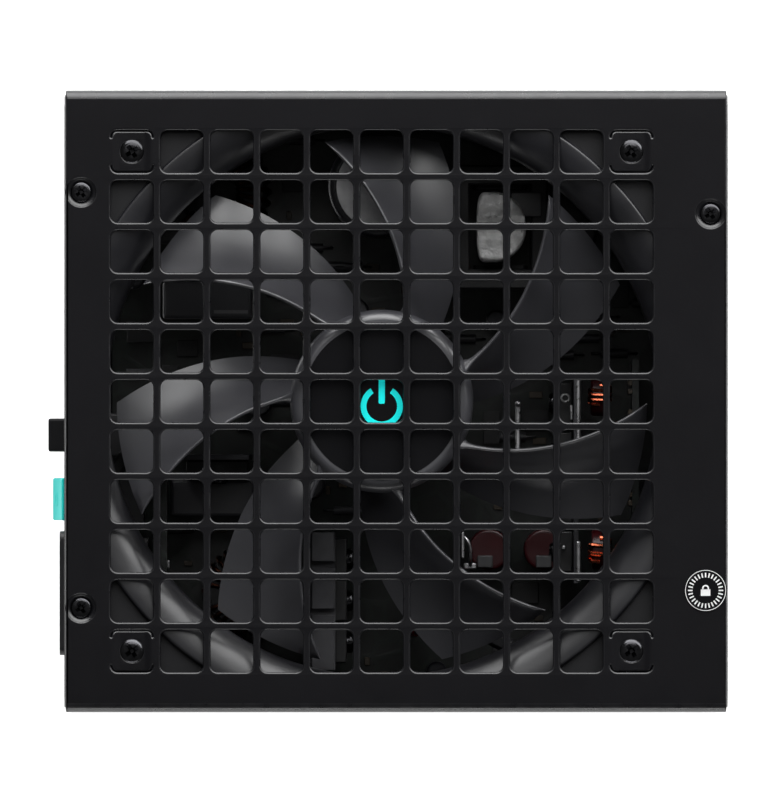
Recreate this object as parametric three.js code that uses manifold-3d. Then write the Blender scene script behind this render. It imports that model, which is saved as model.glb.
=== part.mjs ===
// A fully modular ATX power supply, built from its separate pieces.
// Millimetres. +X runs from the mains face to the modular face and +Z points out of the fan side.
// The origin is the centre of the underside.
import * as THREE from "three";
import { mergeVertices } from "three/addons/utils/BufferGeometryUtils.js";
import Module from "manifold-3d";

const wasm = await Module();
wasm.setup();

// ---- Driving dimensions ----

const DEPTH = 160; // mains face to modular face
const WIDTH = 150;
const HEIGHT = 86;
const STEEL = 0.9; // case sheet
const BEND = 2.2; // outer radius of the cover's two long bends
const FOLD = 1.6; // outer radius of the chassis bends
const GAP = 0.3; // between neighbouring pieces
const SEAT = 0.1; // between a flat piece and what it lies on

// Fan grille punched in the cover, centred on the fan
const FAN_X = -3.45;
const CELLS = 11; // rows and columns, less the four corner cells
const PITCH = 12.04;
const CELL = 10.25;
const CELL_CORNER = 1.7;
const PAD = 11; // stamped corner pad
const PAD_DEPTH = 0.8;
const FAN_HOLE = ((CELLS - 1) / 2) * PITCH; // half the spacing of the fan's screws

// Screws that hold the cover on the chassis flanges: X and Y of each
const COVER_SCREWS = [
  [-75.9, 50.4],
  [-75.9, -49.8],
  [75.8, 45.2],
  [74.6, -45.6],
];
const DISH_R = 3.33; // pressed dish at the panel's face
const DISH_HOLE_R = 1.87; // and the hole at its foot
const FLANGE = 8.3; // how far the end panels' top flanges reach inwards
const SEAL_R = 5.2;
const SEAL = 0.12; // thickness of a printed label

// Fan, 135 mm square and 25 mm deep, heights above the underside
const FAN_SIDE = 135;
const FAN_TOP = HEIGHT - STEEL - PAD_DEPTH - GAP;
const FAN_BOTTOM = FAN_TOP - 25;
const THROAT_R = 66.5;
const RIDGE_R = 76.4; // outer rim of the bell mouth, seen in the corners only
const HUB_R = 22.1;
const HUB_FLAT_R = 19.6;
const HUB_TOP = 83.2;
const BLADES = 7;
const BLADE_TIP_R = 64;
const BLADE_TOP = [81.4, 81]; // leading edge's height at the hub and at the tip
const BLADE_FOOT = [66, 67.5]; // and the trailing edge's
const CAMBER = 0.07; // of the blade's length
const LEAD_ROOT = 332.3; // leading edge's angle at the hub, degrees from +X
const LEAD_TIP = 359.6; // and at the tip
const CHORD_ROOT = 24; // angle that the blade covers
const CHORD_TIP = 25;
const SKIRT_R = 20.3; // inside of the hub
const SHAFT_R = 1.5;
const BEARING_R = SHAFT_R + 2.2;
const RUNNING = 0.08; // radial clearance of a turning fit, on facets
const STRUTS = [1, 3, 4, 6]; // the motor seat's struts lie under these blades at rest
const STRUT_WIDTH = 4;
const STRUT_REACH = [15.75, THROAT_R + 0.75];
const ROUND = 44; // sides of the frame's large circles
const FAN_CORNERS = [
  [1, 1],
  [-1, 1],
  [-1, -1],
  [1, -1],
];

// Mains face: the Y of each piece, all at one height
const MAINS_Z = 36;
const INLET_Y = -46.5;
const INLET_FLANGE = [30, 23.5];
const INLET_BODY = [27, 20];
const INLET_CAVITY = [24.6, 17];
const INLET_CHAMFER = 4;
const INLET_PROUD = 1.5;
const INLET_DEPTH = 20; // body behind the mains face
const INLET_WELL = 15; // cavity behind the mains face
const PIN = [2, 4]; // Y by Z section of a contact
const PIN_REACH = [1.6, 25]; // its nose and its tail, behind the mains face
const PIN_SPREAD = 14; // live to neutral
const EARTH_RISE = 4; // earth above the other two
const ROCKER_Y = -23.75;
const ROCKER = [10.3, 17.2]; // Y by Z
const ROCKER_PROUD = 6.2; // outer face beyond the pivot
const ROCKER_TILT = 8; // degrees either side of level
const PIVOT_X = -76;
const PIVOT_R = 1.2;
const SWITCH_WALL = 0.8;
const BUTTON_Y = -8.2;
const BUTTON = 8.1; // square
const BUTTON_PROUD = 4.3;
const FILTER_BOARD_X = -57;
const LEAD_R = 1.3;
const LEAD_X = -50.2; // where the mains leads run down
const LEADS = [
  ["live_lead", -57.5],
  ["neutral_lead", -31],
];

// Screw holes of the mains face, in the ATX pattern: Y and Z
const ATX_HOLES = [
  [69, 6],
  [-69, 6],
  [69, 70],
  [-45, 80],
];
const ATX_HOLE_R = 1.75;

// Honeycomb vent of the mains face
const HEX_PITCH = 9.6;
const HEX_FLAT = 8;

// Modular face: rows of sockets on a board that stands behind the panel
const BOARD = 1.6; // circuit board thickness
const MODULAR_X = 66;
const PIN_PITCH = 4.2;
const SOCKET_WALL = 1;
const SOCKET_DEPTH = 9.5;
const SOCKET_H = 9; // cavity of a two-row socket
const SOCKET_ROWS = [
  {
    z: 58,
    space: 8,
    list: [
      ["motherboard_socket_18", 9 * PIN_PITCH],
      ["motherboard_socket_10", 5 * PIN_PITCH],
      ["gpu_socket_16", 19],
    ],
  },
  {
    z: 32,
    space: 7,
    list: [
      ["cpu_pcie_socket_1", 4 * PIN_PITCH],
      ["cpu_pcie_socket_2", 4 * PIN_PITCH],
      ["cpu_pcie_socket_3", 4 * PIN_PITCH],
      ["drive_socket_1", 3 * PIN_PITCH],
      ["drive_socket_2", 3 * PIN_PITCH],
    ],
  },
];

// Main board
const BOARD_Z = 7; // underside, on the standoffs
const BOARD_TOP = BOARD_Z + BOARD;
const BOARD_X = [-69, 65.5];
const BOARD_Y = 70.5;
const STANDOFFS = [
  [-62, 62],
  [-62, -62],
  [58, 62],
  [58, -62],
];
const STANDOFF_R = [3.4, 3]; // foot and head

// What stands on the main board. "top" is a height above the underside
const TRANSFORMER = { place: [25.3, 42.2, 32], core: [23, 30, 24], window: [4.2, 20.4], reach: 5.3 };
const WINDING = [14.2, 19.8, 36]; // X by Y by Z, around the core's centre leg
const BULK_CAPACITOR = { place: [-4, 52], radius: 12.5, top: 55.5 };
const FLAT_CHOKES = [
  { name: "pfc_choke", place: [-45, 51], inner: 6, outer: 15, rise: 18, sides: 20 },
  { name: "emi_choke", place: [-36, -46], inner: 5, outer: 11.5, rise: 16, sides: 18 },
];
const PRIMARY_HEATSINK = { x: -17.7, y: [-65, -31.7], web: 3, rim: 6, neck: 46, top: 52 };
const SECONDARY_HEATSINK = { x: [43, 44.3], y: [-44, 7], top: 54 };
const BRIDGE_HEATSINK = { x: [-51.7, -35], y: [-14.2, -12.9], top: 50 };
const FILM_CAPACITORS = [
  { name: "x_capacitor_1", place: [-45.8, 24.5], width: 21.6 },
  { name: "x_capacitor_2", place: [-44.6, -23.5], width: 20.4 },
];
const FILM_DEPTH = 9;
const FILM_TOP = 31;
const DCDC_BOARD = { x: 57.2, y: [-46, 10], top: 50 };
const DCDC_CHOKES = { x: 49.4, y: [1.5, -36], z: 40, inner: 2.4, outer: 5.9, width: 6 };
const OUTPUT_CAPACITORS = { x: [22.6, 36], y: -36, radius: 5, top: 36 };

// ---- Finishes ----

function finish(color, roughness, metalness = 0) {
  return new THREE.MeshStandardMaterial({ color, roughness, metalness });
}

const BLACK_STEEL = finish(0x1a1a1e, 0.7, 0.2);
const BLACK_PLASTIC = finish(0x111114, 0.4);
const TEAL = finish(0x46dcd2, 0.4);
const BRIGHT_STEEL = finish(0xb4b4b4, 0.35, 1);
const DARK_STEEL = finish(0x2a2a2c, 0.4, 1);
const ALUMINIUM = finish(0x9a9a9c, 0.45, 1);
const COPPER = finish(0xb0613a, 0.4, 1);
const BRASS = finish(0xb8a070, 0.35, 1);
const FERRITE = finish(0x3a3a3e, 0.7);
const TAPE = finish(0xd8d0b8, 0.6);
const CIRCUIT = finish(0x1c3a2a, 0.5);
const FILM = finish(0x2a2a30, 0.5);
const GREY_RESIN = finish(0x86868a, 0.55);
const SLEEVE = finish(0x15151a, 0.35);
const PAPER = finish(0x161618, 0.6);

// ---- Helpers: geometry to solids and back ----

function solid(geometry) {
  const source = geometry.index ? geometry.toNonIndexed() : geometry;
  const bare = new THREE.BufferGeometry().setAttribute("position", source.getAttribute("position"));
  const merged = mergeVertices(bare, 1e-4);
  const corners = Array.from(merged.index.array);
  const build = (triVerts) =>
    new wasm.Manifold(
      new wasm.Mesh({
        numProp: 3,
        vertProperties: merged.attributes.position.array,
        triVerts: new Uint32Array(triVerts),
      }),
    );
  const made = build(corners);
  // A profile drawn the other way round gives a body that faces inwards
  return made.volume() < 0 ? build(corners.reverse()) : made;
}

function geometryOf(body) {
  const { vertProperties, triVerts } = body.getMesh();
  const indexed = new THREE.BufferGeometry()
    .setAttribute("position", new THREE.BufferAttribute(vertProperties, 3))
    .setIndex(new THREE.BufferAttribute(triVerts, 1));
  const faceted = indexed.toNonIndexed();
  faceted.computeVertexNormals();
  return faceted;
}

const join = (...bodies) => wasm.Manifold.union(bodies);
const cut = (body, ...tools) => body.subtract(join(...tools));

function add(parent, name, body, material, place = [0, 0, 0]) {
  const mesh = new THREE.Mesh(geometryOf(body), material);
  mesh.name = name;
  mesh.position.set(...place);
  parent.add(mesh);
  return mesh;
}

// ---- Helpers: shapes ----

function block([x0, x1], [y0, y1], [z0, z1]) {
  const geometry = new THREE.BoxGeometry(x1 - x0, y1 - y0, z1 - z0);
  return solid(geometry.translate((x0 + x1) / 2, (y0 + y1) / 2, (z0 + z1) / 2));
}

function extruded(shapes, from, to, arc, basis) {
  const geometry = new THREE.ExtrudeGeometry(shapes, {
    depth: to - from,
    bevelEnabled: false,
    curveSegments: arc,
  });
  geometry.translate(0, 0, from);
  return solid(geometry.applyMatrix4(new THREE.Matrix4().makeBasis(...basis)));
}

const [UX, UY, UZ] = [0, 1, 2].map((i) => new THREE.Vector3().setComponent(i, 1));
// Shapes drawn in YZ, in ZX and in XY, each extruded along the third axis
const alongX = (shapes, from, to, arc = 3) => extruded(shapes, from, to, arc, [UY, UZ, UX]);
const alongY = (shapes, from, to, arc = 3) => extruded(shapes, from, to, arc, [UZ, UX, UY]);
const alongZ = (shapes, from, to, arc = 3) => extruded(shapes, from, to, arc, [UX, UY, UZ]);

function polygon(points) {
  return new THREE.Shape(points.map(([a, b]) => new THREE.Vector2(a, b)));
}

function rectangle(a, b, width, height, radius) {
  const [p, q] = [width / 2 - radius, height / 2 - radius];
  const shape = new THREE.Shape();
  shape.moveTo(a + p, b - q - radius);
  shape.absarc(a + p, b - q, radius, -Math.PI / 2, 0);
  shape.absarc(a + p, b + q, radius, 0, Math.PI / 2);
  shape.absarc(a - p, b + q, radius, Math.PI / 2, Math.PI);
  shape.absarc(a - p, b - q, radius, Math.PI, 1.5 * Math.PI);
  return shape;
}

// The same with its corners cut straight
function chamfered(a, b, width, height, leg) {
  const [p, q] = [width / 2, height / 2];
  return polygon([
    [a - p + leg, b - q],
    [a + p - leg, b - q],
    [a + p, b - q + leg],
    [a + p, b + q - leg],
    [a + p - leg, b + q],
    [a - p + leg, b + q],
    [a - p, b + q - leg],
    [a - p, b - q + leg],
  ]);
}

function circle(a, b, radius) {
  return new THREE.Shape().absarc(a, b, radius, 0, 2 * Math.PI);
}

// A profile of [radius, z] points turned about Z
function turned(profile, segments) {
  const points = [...profile, profile[0]].map(([r, z]) => new THREE.Vector2(r, z));
  return solid(new THREE.LatheGeometry(points, segments).rotateX(Math.PI / 2));
}

function rod(radius, z0, z1, segments) {
  return turned([[0, z0], [radius, z0], [radius, z1], [0, z1]], segments);
}

function tube(inner, outer, z0, z1, segments) {
  return turned([[inner, z0], [outer, z0], [outer, z1], [inner, z1]], segments);
}

// A rounded ring about Z, such as a wound toroid
function ring(inner, outer, z0, z1, segments) {
  const round = Math.min(outer - inner, z1 - z0) / 3.5;
  const profile = [
    [inner + round, z0],
    [outer - round, z0],
    [outer, z0 + round],
    [outer, z1 - round],
    [outer - round, z1],
    [inner + round, z1],
    [inner, z1 - round],
    [inner, z0 + round],
  ];
  return turned(profile, segments);
}

function lead(points, radius, steps) {
  const path = new THREE.CatmullRomCurve3(points.map((p) => new THREE.Vector3(...p)));
  const shape = circle(0, 0, radius);
  return solid(new THREE.ExtrudeGeometry(shape, { steps, extrudePath: path, curveSegments: 4 }));
}

// A Phillips recess, pointing down from z
function crossRecess(z, size, depth) {
  const arm = size / 3.2;
  return join(
    block([-size, size], [-arm / 2, arm / 2], [z - depth, z + 1]),
    block([-arm / 2, arm / 2], [-size, size], [z - depth, z + 1]),
  );
}

// ---- Casing ----

function topCover() {
  const [side, top] = [WIDTH / 2, HEIGHT];
  const [inner, under] = [side - STEEL, top - STEEL];
  const bend = side - BEND;
  const rise = top - BEND;
  const foot = GAP;
  const section = new THREE.Shape();
  section.moveTo(side, foot);
  section.lineTo(side, rise);
  section.absarc(bend, rise, BEND, 0, Math.PI / 2);
  section.absarc(-bend, rise, BEND, Math.PI / 2, Math.PI);
  section.lineTo(-side, foot);
  section.lineTo(-inner, foot);
  section.absarc(-bend, rise, BEND - STEEL, Math.PI, Math.PI / 2, true);
  section.absarc(bend, rise, BEND - STEEL, Math.PI / 2, 0, true);
  section.lineTo(inner, foot);
  const end = DEPTH / 2 - GAP;
  const shell = alongX(section, -end, end, 2);

  const last = (CELLS - 1) / 2;
  const cells = [];
  const pads = [];
  for (let i = -last; i <= last; i++) {
    for (let j = -last; j <= last; j++) {
      const [x, y] = [FAN_X + i * PITCH, j * PITCH];
      if (Math.abs(i) === last && Math.abs(j) === last) pads.push([x, y]);
      else cells.push(chamfered(x, y, CELL, CELL, CELL_CORNER * 0.7));
    }
  }
  const padTop = top - PAD_DEPTH;
  const wide = PAD + 2 * STEEL;
  const plates = alongZ(
    pads.map(([x, y]) => chamfered(x, y, wide, wide, 3)),
    padTop - STEEL,
    padTop,
  );
  const recesses = alongZ(
    pads.map(([x, y]) => chamfered(x, y, PAD, PAD, 1)),
    padTop,
    top + 1,
  );
  const padHoles = alongZ(
    pads.map(([x, y]) => circle(x, y, 2.2)),
    padTop - STEEL - 1,
    padTop + 1,
    6,
  );
  const dishes = COVER_SCREWS.map(([x, y]) => {
    const dish = new THREE.CylinderGeometry(DISH_R, DISH_HOLE_R, STEEL + 0.2, 16);
    return solid(dish.rotateX(Math.PI / 2).translate(x, y, top - STEEL / 2));
  });
  const grille = alongZ(cells, under - 0.5, top + 0.5);
  return cut(join(shell, plates), grille, recesses, padHoles, ...dishes);
}

// The chassis seen from the side: underside, two end panels and their top flanges
function chassisSection() {
  const end = DEPTH / 2;
  const top = HEIGHT - STEEL - GAP;
  const reach = end - FLANGE;
  const inside = FOLD - STEEL;
  const centre = end - FOLD;
  // Drawn in ZX, so the first number of each pair is the height
  const shape = new THREE.Shape();
  shape.moveTo(0, -centre);
  shape.absarc(FOLD, centre, FOLD, Math.PI, Math.PI / 2, true);
  shape.absarc(top - FOLD, centre, FOLD, Math.PI / 2, 0, true);
  shape.lineTo(top, reach);
  shape.lineTo(top - STEEL, reach);
  shape.absarc(top - FOLD, centre, inside, 0, Math.PI / 2);
  shape.absarc(FOLD, centre, inside, Math.PI / 2, Math.PI);
  shape.absarc(FOLD, -centre, inside, Math.PI, 1.5 * Math.PI);
  shape.absarc(top - FOLD, -centre, inside, 1.5 * Math.PI, 2 * Math.PI);
  shape.lineTo(top - STEEL, -reach);
  shape.lineTo(top, -reach);
  shape.absarc(top - FOLD, -centre, FOLD, 0, -Math.PI / 2, true);
  shape.absarc(FOLD, -centre, FOLD, -Math.PI / 2, -Math.PI, true);
  return shape;
}

// Centres of the honeycomb's holes, clear of the mains pieces and the screw holes
function honeycomb() {
  const rowRise = (HEX_PITCH * Math.sqrt(3)) / 2;
  const [reach, low, high] = [WIDTH / 2 - 10.5, 10, HEIGHT - 9];
  const mains = [INLET_Y - 22.5, BUTTON_Y + 12, MAINS_Z - 17, MAINS_Z + 17];
  const centres = [];
  for (let row = 0; low + row * rowRise < high; row++) {
    const z = low + row * rowRise;
    const shift = (row % 2) * (HEX_PITCH / 2);
    for (let y = -7 * HEX_PITCH + shift; y < reach; y += HEX_PITCH) {
      const nearMains = y > mains[0] && y < mains[1] && z > mains[2] && z < mains[3];
      const nearScrew = ATX_HOLES.some(([a, b]) => Math.hypot(y - a, z - b) < HEX_PITCH);
      if (!nearMains && !nearScrew) centres.push([y, z]);
    }
  }
  return centres;
}

function hexagon(a, b, acrossFlats) {
  const radius = acrossFlats / Math.sqrt(3);
  const corner = (k) => (Math.PI / 3) * (k + 0.5);
  return polygon(
    [0, 1, 2, 3, 4, 5].map((k) => [
      a + radius * Math.cos(corner(k)),
      b + radius * Math.sin(corner(k)),
    ]),
  );
}

function lowerChassis(sockets) {
  const [half, end] = [WIDTH / 2 - STEEL - GAP, DEPTH / 2];
  const top = HEIGHT - STEEL - GAP;
  // The panels' top corners are cut off to clear the cover's bends
  const clear = 2;
  const outline = polygon([
    [-half, -1],
    [half, -1],
    [half, top - clear],
    [half - clear, top],
    [clear - half, top],
    [-half, top - clear],
  ]);
  const bent = alongY(chassisSection(), -half, half, 1);
  const folded = bent.intersect(alongX(outline, -end - 1, end + 1));
  const lips = [-1, 1].map((side) => {
    const y = [side * half, side * (half - STEEL)].sort((a, b) => a - b);
    return block([FOLD - end, end - FOLD], y, [STEEL / 2, 10]);
  });
  const posts = STANDOFFS.map(([x, y]) => {
    const [foot, head] = STANDOFF_R;
    const height = BOARD_Z - SEAT - STEEL / 2;
    const post = new THREE.CylinderGeometry(head, foot, height, 12).rotateX(Math.PI / 2);
    return solid(post.translate(x, y, (height + STEEL) / 2));
  });
  const bores = STANDOFFS.map(([x, y]) => {
    const bore = new THREE.CylinderGeometry(1.7, 1.7, BOARD_Z, 10).rotateX(Math.PI / 2);
    return solid(bore.translate(x, y, BOARD_Z / 2 + 2));
  });
  const opening = (y, width, height) =>
    rectangle(y, MAINS_Z, width + 2 * GAP, height + 2 * GAP, 0.8);
  const rear = alongX(
    [
      opening(INLET_Y, ...INLET_BODY),
      opening(ROCKER_Y, ...switchOuter()),
      opening(BUTTON_Y, ...buttonOuter()),
      ...ATX_HOLES.map(([y, z]) => circle(y, z, ATX_HOLE_R)),
      ...honeycomb().map(([y, z]) => hexagon(y, z, HEX_FLAT)),
    ],
    -end - 1,
    -end + STEEL + 1,
    2,
  );
  const front = alongX(
    sockets.map((s) => chamfered(s.y, s.z, s.width + 2 * GAP, s.height + 2 * GAP, 0.4)),
    end - STEEL - 1,
    end + 1,
  );
  const flangeHoles = alongZ(
    COVER_SCREWS.map(([x, y]) => circle(x, y, 1.65)),
    HEIGHT - 4,
    HEIGHT,
    5,
  );
  return cut(join(folded, ...lips, ...posts), ...bores, rear, front, flangeHoles);
}

function insulationSheet() {
  const holes = STANDOFFS.map(([x, y]) => circle(x, y, 4));
  const sheet = chamfered((BOARD_X[0] + BOARD_X[1]) / 2, 0, BOARD_X[1] - BOARD_X[0], 142, 2);
  sheet.holes.push(...holes);
  return alongZ(sheet, STEEL + GAP, STEEL + GAP + 0.3, 4);
}

// Screws are modelled with the underside of the head at their own zero height
function screw(head, shankR, length) {
  const { rise, recess } = head;
  const shank = [
    [0, -length],
    [shankR, -length],
    [shankR, 0],
  ];
  const body = turned([...shank, ...head.profile, [0, rise]], 10);
  return cut(body, crossRecess(rise, recess, rise * 0.75));
}

function coverScrew() {
  const rise = 0.75;
  const countersunk = [
    [1.75, 0.05],
    [2.45, rise],
  ];
  return screw({ rise, recess: 1.5, profile: countersunk }, 1.3, 5);
}

function fanScrew() {
  const rise = PAD_DEPTH - SEAT;
  const flat = [
    [2.95, 0],
    [2.95, rise],
  ];
  return screw({ rise, recess: 1.9, profile: flat }, 1.8, 11);
}

function boardScrew() {
  const rise = 1.8;
  const pan = [
    [3, 0],
    [2.6, rise],
  ];
  return screw({ rise, recess: 1.7, profile: pan }, 1.3, 5);
}

function casing(sockets) {
  const group = new THREE.Group();
  add(group, "top_cover", topCover(), BLACK_STEEL);
  add(group, "lower_chassis", lowerChassis(sockets), BLACK_STEEL);
  add(group, "insulation_sheet", insulationSheet(), FILM);
  COVER_SCREWS.forEach(([x, y], i) => {
    add(group, `cover_screw_${i + 1}`, coverScrew(), DARK_STEEL, [x, y, HEIGHT - STEEL + 0.05]);
  });
  const [sealX, sealY] = COVER_SCREWS[3];
  const seal = rod(SEAL_R, 0, SEAL, 24);
  add(group, "seal_sticker", seal, PAPER, [sealX, sealY, HEIGHT + 0.03]);
  FAN_CORNERS.forEach(([sx, sy], i) => {
    const place = [FAN_X + sx * FAN_HOLE, sy * FAN_HOLE, HEIGHT - PAD_DEPTH + SEAT];
    add(group, `fan_screw_${i + 1}`, fanScrew(), DARK_STEEL, place);
  });
  STANDOFFS.forEach(([x, y], i) => {
    const place = [x, y, BOARD_TOP + SEAT];
    add(group, `board_screw_${i + 1}`, boardScrew(), BRIGHT_STEEL, place);
  });
  return group;
}

// ---- Fan, built about its own axis ----

// Middle line of a blade seen from above: the point at radius r
function bladeMiddle(blade, r) {
  const { degToRad, lerp } = THREE.MathUtils;
  const t = (r - HUB_R) / (BLADE_TIP_R - HUB_R);
  const lead = lerp(LEAD_ROOT, LEAD_TIP, t) - lerp(CHORD_ROOT, CHORD_TIP, t) / 2;
  const angle = degToRad(lead + (360 * blade) / BLADES);
  return new THREE.Vector2(r * Math.cos(angle), r * Math.sin(angle));
}

// A strut keeps to the middle line of the blade that it lies under
function strutOutline(blade) {
  const steps = 8;
  const [inner, outer] = STRUT_REACH;
  const middle = [];
  for (let k = 0; k <= steps; k++) {
    middle.push(bladeMiddle(blade, THREE.MathUtils.lerp(inner, outer, k / steps)));
  }
  const edge = (side) =>
    middle.map((point, k) => {
      const ahead = middle[Math.min(k + 1, steps)].clone().sub(middle[Math.max(k - 1, 0)]);
      const across = new THREE.Vector2(-ahead.y, ahead.x).setLength((side * STRUT_WIDTH) / 2);
      return point.clone().add(across);
    });
  return new THREE.Shape([...edge(-1), ...edge(1).reverse()]);
}

function fanFrame() {
  const [low, high] = [FAN_BOTTOM, FAN_TOP];
  const [half, lip, flange] = [FAN_SIDE / 2, 0.6, 4];
  const square = chamfered(0, 0, FAN_SIDE, FAN_SIDE, 3.5);
  const envelope = alongZ(square, low, high + lip);
  const barrel = rod(half + 2.5, low, high, ROUND);
  const ridge = tube(RIDGE_R - 2, RIDGE_R + 0.9, high - 1, high + lip, ROUND);
  const flanges = join(alongZ(square, low, low + flange), alongZ(square, high - flange, high));
  const bell = turned(
    [
      [0, low - 1],
      [THROAT_R, low - 1],
      [THROAT_R, high - 4.8],
      [THROAT_R + 2.6, high - 2.6],
      [RIDGE_R, high + lip],
      [RIDGE_R, high + 2],
      [0, high + 2],
    ],
    ROUND,
  );
  const holes = alongZ(
    FAN_CORNERS.map(([sx, sy]) => circle(sx * FAN_HOLE, sy * FAN_HOLE, 2.1)),
    low - 1,
    high + 1,
    6,
  );
  const shell = cut(join(barrel, ridge, flanges).intersect(envelope), bell, holes);

  // The motor's seat, on swept struts that cross the outlet side
  const boreR = BEARING_R + GAP;
  const seat = join(rod(HUB_R - 1.2, low, low + 2, 32), tube(boreR, 5.6, low, low + 16, 20));
  const struts = STRUTS.map((blade) => alongZ(strutOutline(blade), low, low + 3));
  return cut(join(shell, seat, ...struts), rod(boreR, low + 1, low + 20, 20));
}

// One blade, lofted outwards from the hub through thin cambered sections
function fanBlade() {
  const { degToRad, lerp } = THREE.MathUtils;
  const radii = [HUB_R - 1, 29, 38, 47, 56, BLADE_TIP_R];
  const outline = [
    [0, 0],
    [0.25, 0.55],
    [0.6, 0.7],
    [1, 0],
    [0.6, -0.5],
    [0.25, -0.5],
  ];
  const points = [];
  for (const r of radii) {
    const t = (r - HUB_R) / (BLADE_TIP_R - HUB_R);
    const leading = degToRad(lerp(LEAD_ROOT, LEAD_TIP, t));
    const chord = degToRad(lerp(CHORD_ROOT, CHORD_TIP, t));
    const [upper, lower] = [lerp(...BLADE_TOP, t), lerp(...BLADE_FOOT, t)];
    const [run, drop] = [chord * r, upper - lower];
    const length = Math.hypot(run, drop);
    for (const [s, offset] of outline) {
      const camber = CAMBER * length * Math.sin(Math.PI * s);
      // Along the chord, and square to it, in the unrolled cylinder
      const lift = camber + offset;
      const u = run * s - (lift * drop) / length;
      const z = upper - drop * s - (lift * run) / length;
      const angle = leading - u / r;
      points.push(r * Math.cos(angle), r * Math.sin(angle), z);
    }
  }
  const n = outline.length;
  const index = [];
  for (let row = 0; row < radii.length - 1; row++) {
    for (let k = 0; k < n; k++) {
      const [a, b] = [row * n + k, row * n + ((k + 1) % n)];
      index.push(a, b, b + n, a, b + n, a + n);
    }
  }
  const lastRow = (radii.length - 1) * n;
  for (let k = 1; k < n - 1; k++) {
    index.push(0, k + 1, k, lastRow, lastRow + k, lastRow + k + 1);
  }
  const blade = new THREE.BufferGeometry();
  blade.setAttribute("position", new THREE.Float32BufferAttribute(points, 3));
  blade.setIndex(index);
  return blade;
}

function fanImpeller() {
  const low = FAN_BOTTOM + 5;
  const roof = HUB_TOP - 1.6;
  const hub = turned(
    [
      [0, roof],
      [SKIRT_R, roof],
      [SKIRT_R, low],
      [HUB_R, low],
      [HUB_R, HUB_TOP - 2.5],
      [HUB_R - 0.8, HUB_TOP - 0.8],
      [HUB_FLAT_R, HUB_TOP],
      [0, HUB_TOP],
    ],
    40,
  );
  const blades = [];
  for (let k = 0; k < BLADES; k++) {
    blades.push(solid(fanBlade().rotateZ((2 * Math.PI * k) / BLADES)));
  }
  const inside = rod(SKIRT_R, low - 1, roof, 40);
  return cut(join(hub, ...blades), inside);
}

function fanYoke() {
  const [low, roof] = [FAN_BOTTOM + 5.3, HUB_TOP - 1.9];
  const [inner, outer] = [18, SKIRT_R - GAP];
  const profile = [
    [0, roof - 1],
    [inner, roof - 1],
    [inner, low],
    [outer, low],
    [outer, roof],
    [0, roof],
  ];
  return turned(profile, 28);
}

// A four-pole stator with its windings
function fanStator() {
  const [low, high] = [FAN_BOTTOM + 6, FAN_BOTTOM + 15];
  const arms = [0, 1, 2, 3].map((k) => {
    const neck = new THREE.BoxGeometry(9, 6, high - low - 2);
    const tip = new THREE.BoxGeometry(1.6, 17, high - low - 2);
    const mid = (low + high) / 2;
    const turn = (k * Math.PI) / 2;
    return join(
      solid(neck.translate(10.5, 0, mid).rotateZ(turn)),
      solid(tip.translate(14.4, 0, mid).rotateZ(turn)),
    );
  });
  return join(tube(5.9, 8.4, low, high, 20), ...arms);
}

function fan() {
  const group = new THREE.Group();
  group.position.set(FAN_X, 0, 0);
  add(group, "fan_frame", fanFrame(), BLACK_PLASTIC);
  add(group, "fan_impeller", fanImpeller(), BLACK_PLASTIC);
  add(group, "fan_yoke", fanYoke(), BRIGHT_STEEL);
  add(group, "fan_shaft", rod(SHAFT_R, FAN_BOTTOM + 2, HUB_TOP - 3.2, 16), BRIGHT_STEEL);
  const [bearingFoot, bearingHead] = [FAN_BOTTOM + 1.5, FAN_BOTTOM + 15.5];
  const bearing = tube(SHAFT_R + RUNNING, BEARING_R, bearingFoot, bearingHead, 16);
  add(group, "fan_bearing", bearing, BRASS);
  add(group, "fan_stator", fanStator(), COPPER);
  const label = rod(HUB_FLAT_R - 0.6, HUB_TOP + 0.05, HUB_TOP + 0.05 + SEAL, 32);
  add(group, "hub_label", label, PAPER);
  // The motor's lead keeps under a strut and then drops to the board
  const under = FAN_BOTTOM - 1.6;
  const route = [
    [-1, -13.6, under],
    [0.4, -25, under],
    [8.4, -41.2, under],
    [17.8, -51, under - 1],
    [19.6, -54, under - 8],
    [16, -56, 36],
    [9.5, -56, 22],
    [7.5, -56, BOARD_TOP + GAP],
  ];
  add(group, "fan_lead", lead(route, 1.2, 22), SLEEVE);
  return group;
}

// ---- Mains face ----

function inletShape(width, height, chamfer) {
  const [p, q] = [width / 2, height / 2];
  // The two corners on the earth side are cut off
  return polygon([
    [-p, -q],
    [p, -q],
    [p, q - chamfer],
    [p - chamfer, q],
    [-p + chamfer, q],
    [-p, q - chamfer],
  ]);
}

// X, Y and Z here are measured from the mains face at the inlet's centre
function inletPins() {
  const rise = -EARTH_RISE / 2;
  return [
    ["inlet_pin_live", -PIN_SPREAD / 2, rise],
    ["inlet_pin_neutral", PIN_SPREAD / 2, rise],
    ["inlet_pin_earth", 0, rise + EARTH_RISE],
  ];
}

function inletHousing() {
  const flange = alongX(rectangle(0, 0, ...INLET_FLANGE, 2), -INLET_PROUD, -SEAT, 1);
  const body = alongX(rectangle(0, 0, ...INLET_BODY, 1), -0.5, INLET_DEPTH, 1);
  const cavity = alongX(inletShape(...INLET_CAVITY, INLET_CHAMFER), -3, INLET_WELL);
  const slots = inletPins().map(([, y, z]) => {
    const slot = rectangle(y, z, PIN[0] + 2 * SEAT, PIN[1] + 2 * SEAT, 0.1);
    return alongX(slot, INLET_WELL - 1, INLET_DEPTH + 2, 1);
  });
  return cut(join(flange, body), cavity, ...slots);
}

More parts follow.
